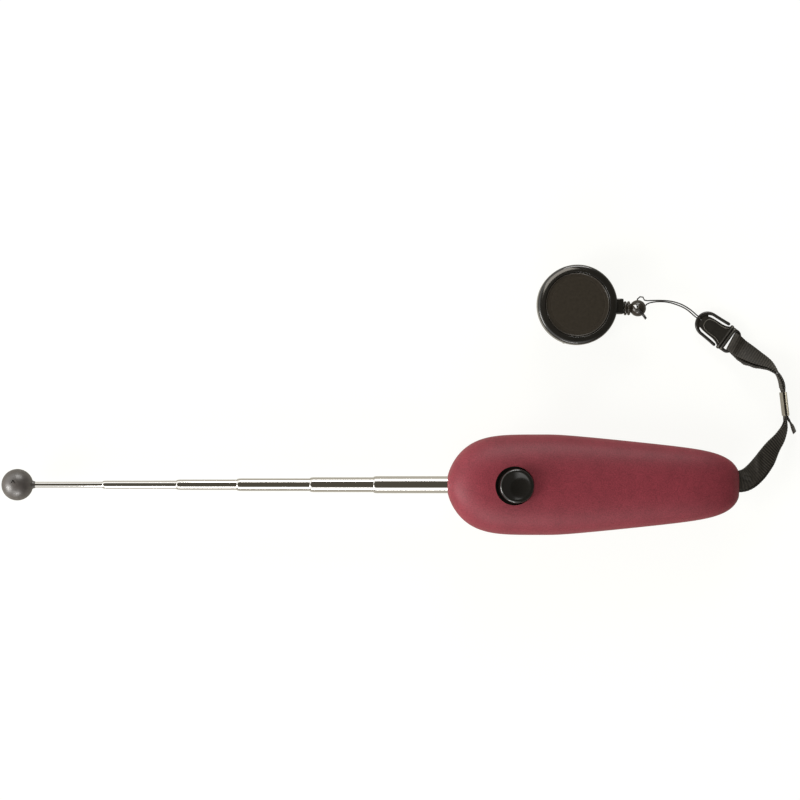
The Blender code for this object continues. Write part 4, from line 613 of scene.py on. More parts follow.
def turned(profile, sides, matrix=None, name="turned"):
    """Spin a profile of (radius, height) points round Z."""
    form = bmesh.new()
    matrix = matrix or Matrix.Identity(4)
    rings = []
    for radius, height in profile:
        places = [(0.0, 0.0, height)]
        if radius >= 1e-7:
            places = [(radius * math.cos(math.tau * side / sides),
                       radius * math.sin(math.tau * side / sides), height)
                      for side in range(sides)]
        rings.append([form.verts.new(matrix @ Vector(place)) for place in places])
    for near, far in zip(rings, rings[1:]):
        for side in range(sides):
            after = (side + 1) % sides
            corners = []
            for corner in (near[side % len(near)], near[after % len(near)],
                           far[after % len(far)], far[side % len(far)]):
                if corner not in corners:
                    corners.append(corner)
            if len(corners) > 2:
                form.faces.new(corners)
    return meshed(form, name)


def drill(radius, low, high, sides, matrix, name):
    """Cutter for a straight hole, round or of a few sides."""
    return turned(((0.0, low), (radius, low), (radius, high), (0.0, high)), sides, matrix, name)


def joined(meshes, name):
    """Several meshes as one."""
    form = bmesh.new()
    for mesh in meshes:
        form.from_mesh(mesh)
    return meshed(form, name)


def linked(name, data):
    """A new object in the scene."""
    item = bpy.data.objects.new(name, data)
    bpy.context.scene.collection.objects.link(item)
    return item


def cut(base, tool):
    """What the exact Boolean leaves of one mesh when another is taken from it."""
    first = linked("base", base)
    second = linked("tool", tool)
    modifier = first.modifiers.new("cut", "BOOLEAN")
    modifier.operation = "DIFFERENCE"
    modifier.object = second
    modifier.solver = "EXACT"
    bpy.context.view_layer.update()
    graph = bpy.context.evaluated_depsgraph_get()
    result = bpy.data.meshes.new_from_object(first.evaluated_get(graph))
    for item in (first, second):
        bpy.data.objects.remove(item, do_unlink=True)
    return result


def rounded_plate(outline, low, high, edge, name="plate", matrix=None):
    """A flat outline with thickness, its top and bottom edges rounded."""
    middle = sum((Vector(point) for point in outline), Vector((0.0, 0.0))) / len(outline)
    rings = []
    for share, height in ((0.0, low), (0.62, low + 0.12 * edge), (1.0, low + edge),
                          (1.0, high - edge), (0.62, high - 0.12 * edge), (0.0, high)):
        inset = edge * (1 - share)
        ring = []
        for index, point in enumerate(outline):
            here = Vector(point)
            before = Vector(outline[index - 1])
            after = Vector(outline[(index + 1) % len(outline)])
            along = (after - before).normalized()
            inward = Vector((-along.y, along.x))
            if inward.dot(middle - here) < 0:
                inward = -inward
            ring.append((*(here + inward * inset), height))
        rings.append(ring)
    return lofted(rings, name, matrix)


def rod_through(route, radius, sides=16, name="rod", matrix=None, swell=None):
    """A rod along a route, its ends domed; swell widens it sideways by its share of the route."""
    rings = []
    count = len(route)
    across = None
    for index, place in enumerate(route):
        along = (route[min(index + 1, count - 1)] - route[max(index - 1, 0)]).normalized()
        if across is None:
            across = Vector((-along.y, along.x, 0.0)).normalized()
        across = (across - along * across.dot(along)).normalized()
        lift = along.cross(across)
        wide = swell(index / (count - 1)) if swell else 1.0
        circle = [across * wide * math.cos(math.tau * side / sides)
                  + lift * math.sin(math.tau * side / sides) for side in range(sides)]
        domes = [(0.0, 1.0)]
        if index == 0:
            domes = [(-math.cos(turn), math.sin(turn)) for turn in DOME_TURNS]
        if index == count - 1:
            domes = [(math.cos(turn), math.sin(turn)) for turn in DOME_TURNS[::-1]]
        for reach, size in domes:
            rings.append([place + along * reach * radius + way * radius * size for way in circle])
    return lofted(rings, name, matrix)


def shown(name, mesh, material, body, *nodes, slot, angle=38.0, bevel=0.0):
    """Link a mesh as a piece that rides on a body and stands for CAD nodes."""
    piece = linked(name, mesh)
    mesh.materials.clear()
    mesh.materials.append(material)
    mesh.shade_smooth()
    mesh.set_sharp_from_angle(angle=math.radians(angle))
    if bevel:
        modifier = piece.modifiers.new("soft edges", "BEVEL")
        modifier.width = bevel
        modifier.segments = 3
        modifier.limit_method = "ANGLE"
        modifier.harden_normals = True
    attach(piece, body)
    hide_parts(*nodes)
    return piece


def dress(material, *nodes):
    """Give CAD nodes that stay a finished material."""
    for node in nodes:
        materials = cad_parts[node].data.materials
        materials.clear()
        materials.append(material)


def half_size(station, full, peak, taper, form=SIDE_FORM):
    """Half-size of the handle at a distance behind its nose."""
    if station < peak:
        away = 1 - station / peak
        swell = (1 - away ** form["bluntness"]) ** (1 / form["shoulder"])
        return form["nose"] + (full - form["nose"]) * swell
    away = (station - peak) / (HANDLE_LENGTH + form["allowance"] - peak)
    end = (1 - away ** form["fullness"]) ** (1 / form["roundness"])
    ease = form["ease"]
    eased = (away - ease * (1 - math.exp(-away / ease))) / (1 - ease)
    return full * (1 - taper * eased ** form["power"]) * end


def form_ring(station, inset, upper, steps):
    """Half of the handle's cross-section, above or below the parting plane."""
    wide = half_size(station, HANDLE_WIDTH / 2, PLAN_PEAK, PLAN_TAPER, PLAN_FORM) - inset
    if upper:
        tall = half_size(station, CROWN_RISE, CROWN_SETBACK, CROWN_TAPER) - inset
        side = 1.0
    else:
        tall = half_size(station, KEEL_DROP, BELLY_SETBACK, KEEL_TAPER) - inset
        side = -1.0
    ring = []
    for step in range(steps + 1):
        turn = math.pi * step / steps
        across = math.cos(turn)
        y = wide * math.copysign(abs(across) ** (2 / SECTION_SQUARENESS), across)
        z = side * tall * max(math.sin(turn), 0.0) ** (2 / SECTION_SQUARENESS)
        ring.append(Vector((NOSE_X + station, y, STICK_HEIGHT + max(z, inset - STICK_HEIGHT))))
    return ring


def stations(inset, count):
    """Places along the handle, closer together at its two ends."""
    start = inset
    end = HANDLE_LENGTH - inset
    return [start + (end - start) * (1 - math.cos(math.pi * step / (count - 1))) / 2
            for step in range(count)]


def half_form(inset, upper, count, steps):
    """One half of the handle's form, its flat side at the parting plane."""
    lift = PARTING_GAP / 2 if upper else -PARTING_GAP / 2
    rings = []
    for station in stations(inset, count):
        ring = form_ring(station, inset, upper, steps)
        ring[0].z += lift
        ring[-1].z += lift
        rings.append(ring)
    return lofted(rings, "handle half")


def hollow():
    """The room inside both halves."""
    rings = []
    for station in stations(HANDLE_WALL, HOLLOW_STATIONS):
        top = form_ring(station, HANDLE_WALL, True, HOLLOW_STEPS)
        bottom = form_ring(station, HANDLE_WALL, False, HOLLOW_STEPS)
        rings.append(top + bottom[-2:0:-1])
    return lofted(rings, "hollow")


def button_frame():
    """Matrix of the button: its Z leans towards the strap with the slope of the crown."""
    rise = half_size(BUTTON_X - NOSE_X, CROWN_RISE, CROWN_SETBACK, CROWN_TAPER)
    return (Matrix.Translation((BUTTON_X, 0.0, STICK_HEIGHT + rise))
            @ Matrix.Rotation(BUTTON_TILT, 4, "Y"))


def along_stick(x):
    """Matrix whose Z runs along the stick towards the handle's tail."""
    return Matrix.Translation((x, 0.0, STICK_HEIGHT)) @ LEVEL_Y_TURN


def nose_bore(radius):
    """Cutter for the hole that the widest section slides through."""
    return drill(radius, -BORE_REACH, BORE_REACH, 48, along_stick(NOSE_X), "nose bore")


def strap_mouth():
    """Cutter for the strap's slot, a flat oval."""
    half_height = STRAP_MOUTH_HALF_HEIGHT
    ring = []
    for step in range(24):
        turn = math.tau * step / 24
        side = 1 if math.cos(turn) >= 0 else -1
        ring.append((side * (STRAP_MOUTH_HALF_WIDTH - half_height) + half_height * math.cos(turn),
                     half_height * math.sin(turn)))
    return lofted([[Vector((x, STRAP_MOUTH_Y + across, STICK_HEIGHT + lift))
                    for across, lift in ring] for x in (TAIL_X - 0.006, TAIL_X + 0.004)],
                  "strap mouth")


class HandleSettings(PropertyGroup):
    colour: FloatVectorProperty(
        name="Coating", description="Colour of the soft-touch coating", subtype="COLOR", size=3,
        min=0.0, max=1.0, default=linear("#84323D"))
    grain: FloatProperty(
        name="Grain", description="Size of the coating's grain", default=0.00042, min=0.00005,
        unit="LENGTH")


class ButtonSettings(PropertyGroup):
    radius: FloatProperty(
        name="Radius", description="Radius of the button's cap", default=0.00680, min=0.004,
        unit="LENGTH")
    dish: FloatProperty(
        name="Dish", description="Depth of the thumb dish", default=0.0016, min=0.0,
        unit="LENGTH")
    colour: FloatVectorProperty(
        name="Plastic", description="Colour of the polished black plastic", subtype="COLOR",
        size=3, min=0.0, max=1.0, default=linear("#161513"))


class StickSettings(PropertyGroup):
    rod_diameter: FloatProperty(
        name="Rod", description="Diameter of the thinnest section", default=0.0023, min=0.001,
        unit="LENGTH")
    step: FloatProperty(
        name="Step", description="How much wider each next section is", default=0.0009,
        min=0.0006, unit="LENGTH")
    chrome: FloatVectorProperty(
        name="Chrome", description="Colour of the chromed steel", subtype="COLOR", size=3,
        min=0.0, max=1.0, default=linear("#E4E2DE"))
    rubber: FloatVectorProperty(
        name="Ball", description="Colour of the ball's rubber", subtype="COLOR", size=3,
        min=0.0, max=1.0, default=linear("#514C49"))


class StrapSettings(PropertyGroup):
    width: FloatProperty(
        name="Width", description="Width of the webbing", default=0.0080, min=0.004,
        unit="LENGTH")
    rib_pitch: FloatProperty(
        name="Rib pitch", description="Distance from one rib of the weave to the next",
        default=0.0010, min=0.0003, unit="LENGTH")
    colour: FloatVectorProperty(
        name="Yarn", description="Colour of the webbing's yarn", subtype="COLOR", size=3,
        min=0.0, max=1.0, default=linear("#2F2C27"))


class HookSettings(PropertyGroup):
    colour: FloatVectorProperty(
        name="Plastic", description="Colour of the hook's satin plastic", subtype="COLOR",
        size=3, min=0.0, max=1.0, default=linear("#23211D"))


class ReelSettings(PropertyGroup):
    face_drop: FloatProperty(
        name="Face drop", description="How far the face lies below the rim", default=0.0002,
        min=0.0, unit="LENGTH")
    colour: FloatVectorProperty(
        name="Face", description="Colour of the reel's face", subtype="COLOR", size=3,
        min=0.0, max=1.0, default=linear("#332E27"))


class StageSettings(PropertyGroup):
    camera_height: FloatProperty(
        name="Camera height", description="Height of the camera over the stick", default=1.0,
        min=0.2, unit="LENGTH")
    field: FloatProperty(
        name="Field", description="Width that the camera sees at the stick's height",
        default=0.320, min=0.1, unit="LENGTH")
    lamp_power: FloatProperty(
        name="Lamp power", description="Power of the main soft lamp", default=13.0, min=0.0,
        unit="POWER")


def aim(item, place, target):
    """Put a lamp at a place, facing a target."""
    item.location = place
    item.rotation_euler = (Vector(target) - Vector(place)).to_track_quat("-Z", "Y").to_euler()


def reel_group():
    """The pieces that the small lamp over the reel lights."""
    name = "lit by the reel lamp"
    return bpy.data.collections.get(name) or bpy.data.collections.new(name)


class TARGETSTICK_OT_stage(Operator):
    """Make the camera, the pale floor and the soft studio light"""
    bl_idname = "target_stick.stage"
    bl_label = "Stage"

    def execute(self, context):
        settings = context.scene.target_stick_stage
        camera = linked("camera", bpy.data.cameras.new("camera"))
        camera.location = (CAMERA_X, CAMERA_Y, STICK_HEIGHT + settings.camera_height)
        camera.data.lens = camera.data.sensor_width * settings.camera_height / settings.field
        camera.data.clip_start = 0.01
        context.scene.camera = camera
        context.scene.view_settings.view_transform = "Standard"
        self.make_floor()
        self.make_world(context)
        for name, (place, target, size, power, colour) in LAMPS.items():
            lamp = bpy.data.lights.new(name, "AREA")
            lamp.shape = "RECTANGLE"
            lamp.size, lamp.size_y = size
            lamp.energy = settings.lamp_power * power
            lamp.color = colour
            holder = linked(name, lamp)
            holder.visible_camera = False
            aim(holder, place, target)
            if name == REEL_LAMP:
                holder.light_linking.receiver_collection = reel_group()
        return {"FINISHED"}

    def make_floor(self):
        """Paper that looks white to the camera, grey in the chrome, and bounces a little light."""
        material, tree = blank_material("matt white paper sheet")
        path = add_node(tree, "ShaderNodeLightPath")
        paper = add_node(tree, "ShaderNodeBsdfDiffuse", {"Color": (*linear("#C4C3C0"), 1.0)})
        faint = add_node(tree, "ShaderNodeBsdfDiffuse", {"Color": (0.14, 0.14, 0.14, 1.0)})
        glow = add_node(tree, "ShaderNodeEmission", {"Color": (*linear("#FFFFFC"), 1.0),
                                                     "Strength": 0.90})
        seen = add_node(tree, "ShaderNodeAddShader", {0: faint.outputs[0], 1: glow.outputs[0]})
        mirrored = add_node(tree, "ShaderNodeEmission", {"Color": (0.54, 0.51, 0.44, 1.0),
                                                         "Strength": 1.0})
        bounced = add_node(tree, "ShaderNodeMixShader", {
            0: path.outputs["Is Glossy Ray"], 1: paper.outputs[0], 2: mirrored.outputs[0]})
        mixed = add_node(tree, "ShaderNodeMixShader", {
            0: path.outputs["Is Camera Ray"], 1: bounced.outputs[0], 2: seen.outputs[0]})
        form = bmesh.new()
        bmesh.ops.create_grid(form, x_segments=1, y_segments=1, size=FLOOR_HALF_SIZE)
        floor = linked("floor", meshed(form, "floor"))
        add_node(tree, "ShaderNodeOutputMaterial", {"Surface": mixed.outputs[0]})
        floor.data.materials.append(material)
        floor.location.z = -FLOOR_DROP

    def make_world(self, context):
        """A dark ceiling over bright walls; the right wall and the near one's foot are dark."""
        world = bpy.data.worlds.new("studio")
        context.scene.world = world
        world.use_nodes = True
        tree = world.node_tree
        tree.nodes.clear()
        way = add_node(tree, "ShaderNodeTexCoord").outputs["Generated"]
        parts = add_node(tree, "ShaderNodeSeparateXYZ", {"Vector": way})
        tilt = add_node(tree, "ShaderNodeMath", {
            0: parts.outputs["Y"], 1: 0.10, 2: parts.outputs["Z"]}, operation="MULTIPLY_ADD")
        wall = add_node(tree, "ShaderNodeMapRange", {
            "Value": tilt.outputs[0], "From Min": 0.745, "From Max": 0.660, "To Min": 0.0,
            "To Max": 1.0}, interpolation_type="SMOOTHSTEP")
        left = add_node(tree, "ShaderNodeMapRange", {
            "Value": parts.outputs["X"], "From Min": 0.50, "From Max": 0.05, "To Min": 0.06,
            "To Max": 1.0}, interpolation_type="SMOOTHSTEP")
        skirting = add_node(tree, "ShaderNodeMapRange", {
            "Value": parts.outputs["Z"], "From Min": 0.17, "From Max": 0.25, "To Min": 0.18,
            "To Max": 1.0})
        far = add_node(tree, "ShaderNodeMapRange", {
            "Value": parts.outputs["Y"], "From Min": -0.3, "From Max": 0.0})
        low = add_node(tree, "ShaderNodeMath", {0: skirting.outputs[0], 1: far.outputs[0]},
                       operation="MAXIMUM")
        lit = add_node(tree, "ShaderNodeMath", {0: wall.outputs[0], 1: left.outputs[0]},
                       operation="MULTIPLY")
        share = add_node(tree, "ShaderNodeMath", {0: lit.outputs[0], 1: low.outputs[0]},
                         operation="MULTIPLY")
        colour = add_node(tree, "ShaderNodeMix",
                          {0: share.outputs[0], 6: ROOM_DARK, 7: ROOM_BRIGHT}, data_type="RGBA")
        room = add_node(tree, "ShaderNodeBackground", {"Color": colour.outputs[2],
                                                       "Strength": 1.0})
        white = add_node(tree, "ShaderNodeBackground", {"Color": (1.0, 1.0, 0.99, 1.0),
                                                        "Strength": 1.0})
        path = add_node(tree, "ShaderNodeLightPath")
        mixed = add_node(tree, "ShaderNodeMixShader", {
            0: path.outputs["Is Camera Ray"], 1: room.outputs[0], 2: white.outputs[0]})
        add_node(tree, "ShaderNodeOutputWorld", {"Surface": mixed.outputs[0]})


def hook_matrix():
    """Place and turn of the hook, whose X runs from its nose towards the strap."""
    return Matrix.Translation(HOOK_NOSE) @ Matrix.Rotation(HOOK_TURN, 4, "Z")


def on_hook(along, across, lift=0.0):
    """A point given from the hook's nose, along and across its own axis."""
    return hook_matrix() @ Vector((along, across, lift))


def loop_route():
    """Centre line of the thin cord, through the ball's eye and the hook's nose."""
    eye = END_EYE_PLACE
    level = REEL_PARTING
    tail = Vector((END_BALL_X + 0.0030, 0.0668, level - 0.0012))
    over = HOOK_ROD_RADIUS + LOOP_CORD_RADIUS + 0.0003

    def from_ball(places):
        return [Vector((END_BALL_X + along, across, height)) for along, across, height in places]

    around = [on_hook(-0.0002, 0.0002, over), on_hook(0.0008, 0.0002, 1.1 * over),
              on_hook(HOOK_EYE_CENTRE - 0.0001, 0.0001, 0.75 * over),
              on_hook(HOOK_EYE_CENTRE, 0.0, 0.0),
              on_hook(HOOK_EYE_CENTRE - 0.0001, -0.0001, -0.75 * over),
              on_hook(0.0008, -0.0002, -1.1 * over), on_hook(-0.0002, -0.0004, -over)]
    upper = from_ball([(0.00245, 0.07370, 0.0098), (0.0054, 0.0738, 0.0098),
                       (0.0084, 0.07385, 0.0092), (0.0115, 0.07375, 0.0083),
                       (0.0146, 0.07325, 0.0072), (0.0175, 0.07235, 0.0058),
                       (0.0198, 0.07120, 0.0047), (0.0219, 0.06985, 0.0036)])
    lower = from_ball([(0.0217, 0.06915, 0.0014), (0.0202, 0.07025, 0.0024),
                       (0.0181, 0.07135, 0.0038), (0.0152, 0.07240, 0.0052),
                       (0.0123, 0.07315, 0.0065), (0.0096, 0.07340, 0.0074),
                       (0.0070, 0.07335, 0.0081), (0.0046, 0.07295, 0.0086),
                       (0.0034, 0.07255, 0.0086)])
    ring = from_ball([(0.00215, 0.07385, 0.0094), (0.00195, 0.07485, 0.0088),
                      (0.0011, 0.07550, 0.0081), (0.0000, 0.07500, 0.0072),
                      (-0.0006, 0.07370, 0.0064)])
    first_tail = [tail, *from_ball([(0.0017, 0.0681, level + 0.0022),
                                    (0.0003, 0.0692, level + 0.00345)]),
                  eye + Vector((0.0008, -0.0013, 0.0036)), eye + Vector((0.0006, -0.0009, 0.0)),
                  eye + Vector((0.0008, -0.0003, -0.0036))]
    second_tail = [eye + Vector((0.0002, -0.0010, -0.0038)), eye + Vector((0.0002, -0.0011, 0.0)),
                   eye + Vector((0.0005, -0.0016, 0.0036)),
                   *from_ball([(-0.0001, 0.0688, level + 0.0036),
                               (0.0013, 0.0677, level + 0.0023)]),
                   tail + Vector((-0.00036, -0.00038, 0.0))]
    knots = first_tail + ring[::-1] + upper + around + lower
    knots += from_ball([(0.0030, 0.0720, 0.0064), (0.0012, 0.0714, 0.0056)]) + second_tail
    return curve_through(knots, LOOP_CORD_POINTS)


class TARGETSTICK_OT_loop_cord(Operator):
    """Make the thin cord between the hook and the reel's cord end"""
    bl_idname = "target_stick.loop_cord"
    bl_label = "Loop cord"

    def execute(self, context):
        route = loop_route()
        curve = bpy.data.curves.new("loop_cord_thread", "CURVE")
        curve.dimensions = "3D"
        curve.bevel_depth = LOOP_CORD_RADIUS
        curve.bevel_resolution = 4
        curve.use_fill_caps = True
        spline = curve.splines.new("POLY")
        spline.points.add(len(route) - 1)
        for point, place in zip(spline.points, route):
            point.co = (*place, 1.0)
        curve.materials.append(cord_material())
        cord = linked("loop_cord_thread", curve)
        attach(cord, "handle")
        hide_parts("loop_cord")
        return {"FINISHED"}


def webbing_centre():
    """Centre line of the doubled webbing from the hook's bar to the strap pin, with its roll."""
    upper = [(on_hook(STRAP_BAR_SETBACK, 0.0), 0.0),
             (Vector((TAIL_X + 0.0028, 0.0543, 0.0023)), 18.0),
             (Vector((TAIL_X + 0.0083, 0.0509, 0.0034)), 42.0),
             (Vector((TAIL_X + 0.0133, 0.0481, 0.0042)), 63.0),
             (Vector((TAIL_X + 0.0167, 0.0445, 0.0046)), 84.0),
             (Vector((TAIL_X + 0.01835, 0.0409, 0.0047)), 89.0),
             (FERRULE_TOP, 90.0)]
    lower = [(FERRULE_FOOT, 90.0),
             (Vector((TAIL_X + 0.0196, 0.0230, 0.0052)), 72.0),
             (Vector((TAIL_X + 0.0176, 0.0188, 0.0061)), 50.0),
             (Vector((TAIL_X + 0.0143, 0.0144, 0.0072)), 32.0),
             (Vector((TAIL_X + 0.0114, 0.0101, 0.0086)), 14.0),
             (Vector((TAIL_X + 0.0077, 0.0056, 0.0104)), 4.0),
             (Vector((TAIL_X + 0.0038, 0.0024, 0.0120)), 0.0),
             (Vector((TAIL_X - 0.0001, STRAP_MOUTH_Y, STICK_HEIGHT)), 0.0),
             (Vector((PIN_X, STRAP_MOUTH_Y, STICK_HEIGHT)), 0.0)]
    return upper, lower


def framed(knots, count):
    """Stations along one stretch of webbing: place, direction, face normal and width direction."""
    places = curve_through([place for place, _ in knots], count)
    known = [0.0]
    for (first, _), (second, _) in zip(knots, knots[1:]):
        known.append(known[-1] + (second - first).length)
    found = []
    for index, place in enumerate(places):
        along = (places[min(index + 1, count - 1)] - places[max(index - 1, 0)]).normalized()
        share = known[-1] * index / (count - 1)
        slot = min(bisect.bisect_right(known, share), len(known) - 1)
        blend = (share - known[slot - 1]) / (known[slot] - known[slot - 1])
        roll = math.radians(knots[slot - 1][1] * (1 - blend) + knots[slot][1] * blend)
        outward = Vector((-along.y, along.x, 0.0)).normalized()
        up = along.cross(outward) * -1
        up = up if up.z > 0 else -up
        normal = (up * math.cos(roll) + outward * math.sin(roll)).normalized()
        found.append((place, along, normal, along.cross(normal)))
    return found


def webbing_path():
    """The one strip's cross-sections, and the centre line of the doubled webbing.

    A cross-section is its place, face normal, width direction and thickness.
    """
    upper_knots, lower_knots = webbing_centre()
    upper = framed(upper_knots, 29)
    lower = framed(lower_knots, 34)
    pitch = (WEBBING_THICKNESS + LAYER_GAP) / 2
    tight = WEBBING_SQUEEZED + LAYER_GAP
    bar = on_hook(STRAP_BAR_SETBACK - FOLD_SETBACK, 0.0)
    pin = Vector((PIN_X, STRAP_MOUTH_Y, STICK_HEIGHT))
    bar_reach = STRAP_BAR_RADIUS + FOLD_PLAY + WEBBING_THICKNESS / 2
    pin_reach = PIN_RADIUS + FOLD_PLAY + WEBBING_THICKNESS / 2

    def side_run(found, end, centre, reach, side, gripped, drift, spread=0.0, skew=0.0):
        """One layer between the crimp, at end, and the fold round a centre."""
        rings = []
        for place, along, normal, across in found:
            grip = smooth_step(1 - (place - end).length / SQUEEZE_RUN)
            loose = side * pitch
            away = (place - centre).length
            if away < 0.2 * reach:
                continue
            near = smooth_step((2.3 * reach - away) / (1.7 * reach))
            if near > 0:
                loose = side * (pitch + (reach - pitch) * near)
            thickness = WEBBING_THICKNESS + (WEBBING_SQUEEZED - WEBBING_THICKNESS) * grip
            offset = loose + (gripped - loose) * grip
            ease = smooth_step(away / SPREAD_RUN) * smooth_step((place - end).length / SPREAD_RUN)
            wave = 1 + UNDER_WAVE_SHARE * math.cos(math.tau * away / UNDER_WAVE)
            flat = spread * wave
            aside = across * (drift + 0.35 * flat * smooth_step(1.5 * normal.z)) * ease
            level = Vector((-along.y, along.x, 0.0)).normalized()
            aside -= level * 0.75 * flat * normal.z ** 2 * ease
            askew = skew * smooth_step(1 - away / FOLD_SKEW_RUN)
            rings.append((place + normal * offset + aside, normal,
                          (across + along * askew).normalized(), thickness))
        return rings

    def fold(found, centre, reach, way, face, skew=0.0):
        """The half turn round a bar or pin."""
        _, along, normal, across = found
        across = (across + along * skew).normalized()
        rings = []
        for step in range(13):
            turn = math.pi * step / 12
            outward = normal * math.cos(turn) + along * math.sin(turn) * way
            rings.append((centre + outward * reach, outward * face, across, WEBBING_THICKNESS))
        return rings

    def turned_over(rings):
        return [(place, -normal, across, thickness) for place, normal, across, thickness in rings]

    run = FERRULE_FOOT - FERRULE_TOP
    along = run.normalized()
    outward = Vector((-along.y, along.x, 0.0))
    across = along.cross(outward)

    def in_ferrule(offset, shares):
        return [(FERRULE_TOP + run * share + outward * offset, outward, across, WEBBING_SQUEEZED)
                for share in shares]

    tail = []
    for step in range(TAIL_STEPS, 0, -1):
        share = step / TAIL_STEPS
        turn = TAIL_TURN * smooth_step(share * 1.6)
        way = (along * math.cos(turn / 2) + outward * math.sin(turn / 2)).normalized()
        place = FERRULE_FOOT + outward * tight + way * TAIL_LENGTH * share
        lean = TAIL_LEAN * smooth_step(share * 1.3)
        facing = (outward * math.cos(turn) - along * math.sin(turn)).normalized()
        facing = (facing * math.cos(lean) + Vector((0.0, 0.0, math.sin(lean)))).normalized()
        swell = smooth_step(3 * share)
        thickness = WEBBING_SQUEEZED + (WEBBING_THICKNESS - WEBBING_SQUEEZED) * swell
        tail.append((place + outward * (thickness - WEBBING_SQUEEZED) * 1.2, facing,
                     way.cross(facing).normalized(), thickness))
    path = tail + in_ferrule(tight, (1.0, 0.5, 0.0))
    path += side_run(upper, FERRULE_TOP, bar, bar_reach, 1, tight, 0.0, 0.0, FOLD_SKEW)[-2::-1]
    path += fold(upper[0], bar, bar_reach, -1, 1, FOLD_SKEW)
    under = side_run(upper, FERRULE_TOP, bar, bar_reach, -1, 0.0, 0.0, UNDER_SPREAD, FOLD_SKEW)
    path += turned_over(under[:-1])
    path += turned_over(in_ferrule(0.0, (0.0, 0.5, 1.0)))
    over_drift, under_drift = LOWER_DRIFTS
    path += turned_over(side_run(lower, FERRULE_FOOT, pin, pin_reach, 1, 0.0, over_drift)[1:])
    path += fold(lower[-1], pin, pin_reach, 1, -1)
    path += side_run(lower, FERRULE_FOOT, pin, pin_reach, -1, -tight, under_drift)[:0:-1]
    path += in_ferrule(-tight, (1.0, 0.5, 0.06))
    centre = [place for place, *_ in lower[::-1]] + [place for place, *_ in upper[::-1]]
    return path, centre


def crease_lift(place):
    """How far the creases raise or sink a point of the webbing."""
    lift = 0.0
    for start, end, half_width, height in CREASES:
        here = Vector((place.x, place.y)) - start
        run = end - start
        share = here.dot(run) / run.length_squared
        nearest = start + run * min(max(share, 0.0), 1.0)
        away = (Vector((place.x, place.y)) - nearest).length
        fade = smooth_step(1.25 - abs(2 * share - 1))
        lift += height * fade * math.exp(-(away / half_width) ** 2)
    return lift


def ribbed_strip(path, width, pitch):
    """The strip as woven: a rib every pitch, thinner at its two selvedges."""
    dense = []
    travelled = 0.0
    for near, far in zip(path, path[1:]):
        here, normal, across, thick = near
        there, normal_to, across_to, thick_to = far
        span = (there - here).length
        parts = max(1, round(span / (pitch / 4)))
        for part in range(parts):
            t = part / parts
            dense.append((here.lerp(there, t), normal.lerp(normal_to, t).normalized(),
                          across.lerp(across_to, t).normalized(), thick + (thick_to - thick) * t,
                          travelled + span * t))
        travelled += span
    dense.append((*path[-1], travelled))
    inner = [(-0.9 + 0.2 * step, 1.0) for step in range(1, 9)]
    columns = [(-1.0, 0.0), (-0.985, 0.62), (-0.90, 0.96), *inner,
               (0.90, 0.96), (0.985, 0.62), (1.0, 0.0)]
    rings = []
    for place, normal, across, thickness, distance in dense:
        rib = 0.5 + 0.5 * math.cos(math.tau * distance / pitch)
        swollen = (thickness - WEBBING_SQUEEZED) / (WEBBING_THICKNESS - WEBBING_SQUEEZED)
        loose = smooth_step(swollen)
        half = thickness / 2 * (1 - RIB_DEPTH_SHARE * (1 - rib) * loose)
        edge = width / 2 - RIB_EDGE_DEPTH * (1 - rib) * loose
        ring = [place + across * edge * side + normal * half * lift for side, lift in columns]
        ring += [place + across * edge * side - normal * half * lift
                 for side, lift in columns[-2:0:-1]]
        rings.append([point + Vector((0.0, 0.0, crease_lift(point))) for point in ring])
    return lofted(rings, "strap_band", lengths=[station[4] for station in dense])


class TARGETSTICK_OT_strap(Operator):
    """Make the folded webbing strap and the crimp that holds it"""
    bl_idname = "target_stick.strap"
    bl_label = "Strap"

    def execute(self, context):
        settings = context.scene.target_stick_strap
        path, centre = webbing_path()
        fabric = woven_webbing(tuple(settings.colour), 0.16, settings.rib_pitch)
        strap = shown("strap_band", ribbed_strip(path, settings.width, settings.rib_pitch), fabric,
                      "handle", "strap_webbing", slot="webbing_fabric", angle=60.0)
        crimp = shown("strap_crimp", self.crimp(), metal("zinc-plated steel strip, dull"), "handle",
                      "strap_ferrule", slot="zinc_steel", bevel=0.00012)
        return {"FINISHED"}

    def crimp(self):
        """Folded channel that is open along its top."""
        inner = (3 * WEBBING_SQUEEZED + 2 * LAYER_GAP) / 2 + FERRULE_PLAY
        outer = inner + FERRULE_WALL
        bottom = FERRULE_BOTTOM - FERRULE_WALL
        floor = bottom + FERRULE_WALL
        top = bottom + FERRULE_HEIGHT
        lip = top - 0.0003
        outline = filleted(((-inner, top, 0.0), (-inner, floor, 0.0002), (inner, floor, 0.0002),
                            (inner, lip - 0.0002, 0.0001), (0.15 * inner, lip - 0.0006, 0.0001),
                            (0.10 * inner, lip - 0.0002, 0.0001), (outer, top - 0.00004, 0.0003),
                            (outer, bottom, 0.0006), (-outer, bottom, 0.0006),
                            (-outer, top, 0.0001)), 4)
        run = FERRULE_FOOT - FERRULE_TOP
        along = run.normalized()
        outward = Vector((-along.y, along.x, 0.0))
        rings = []
        for share in (0.0, 0.04, 0.5, 0.96, 1.0):
            pinch = FERRULE_PINCH if share in (0.0, 1.0) else 0.0
            rings.append([FERRULE_TOP + run * share + outward * (side - math.copysign(pinch, side))
                          + Vector((0.0, 0.0, height)) for side, height in outline])
        return lofted(rings, "strap_crimp")


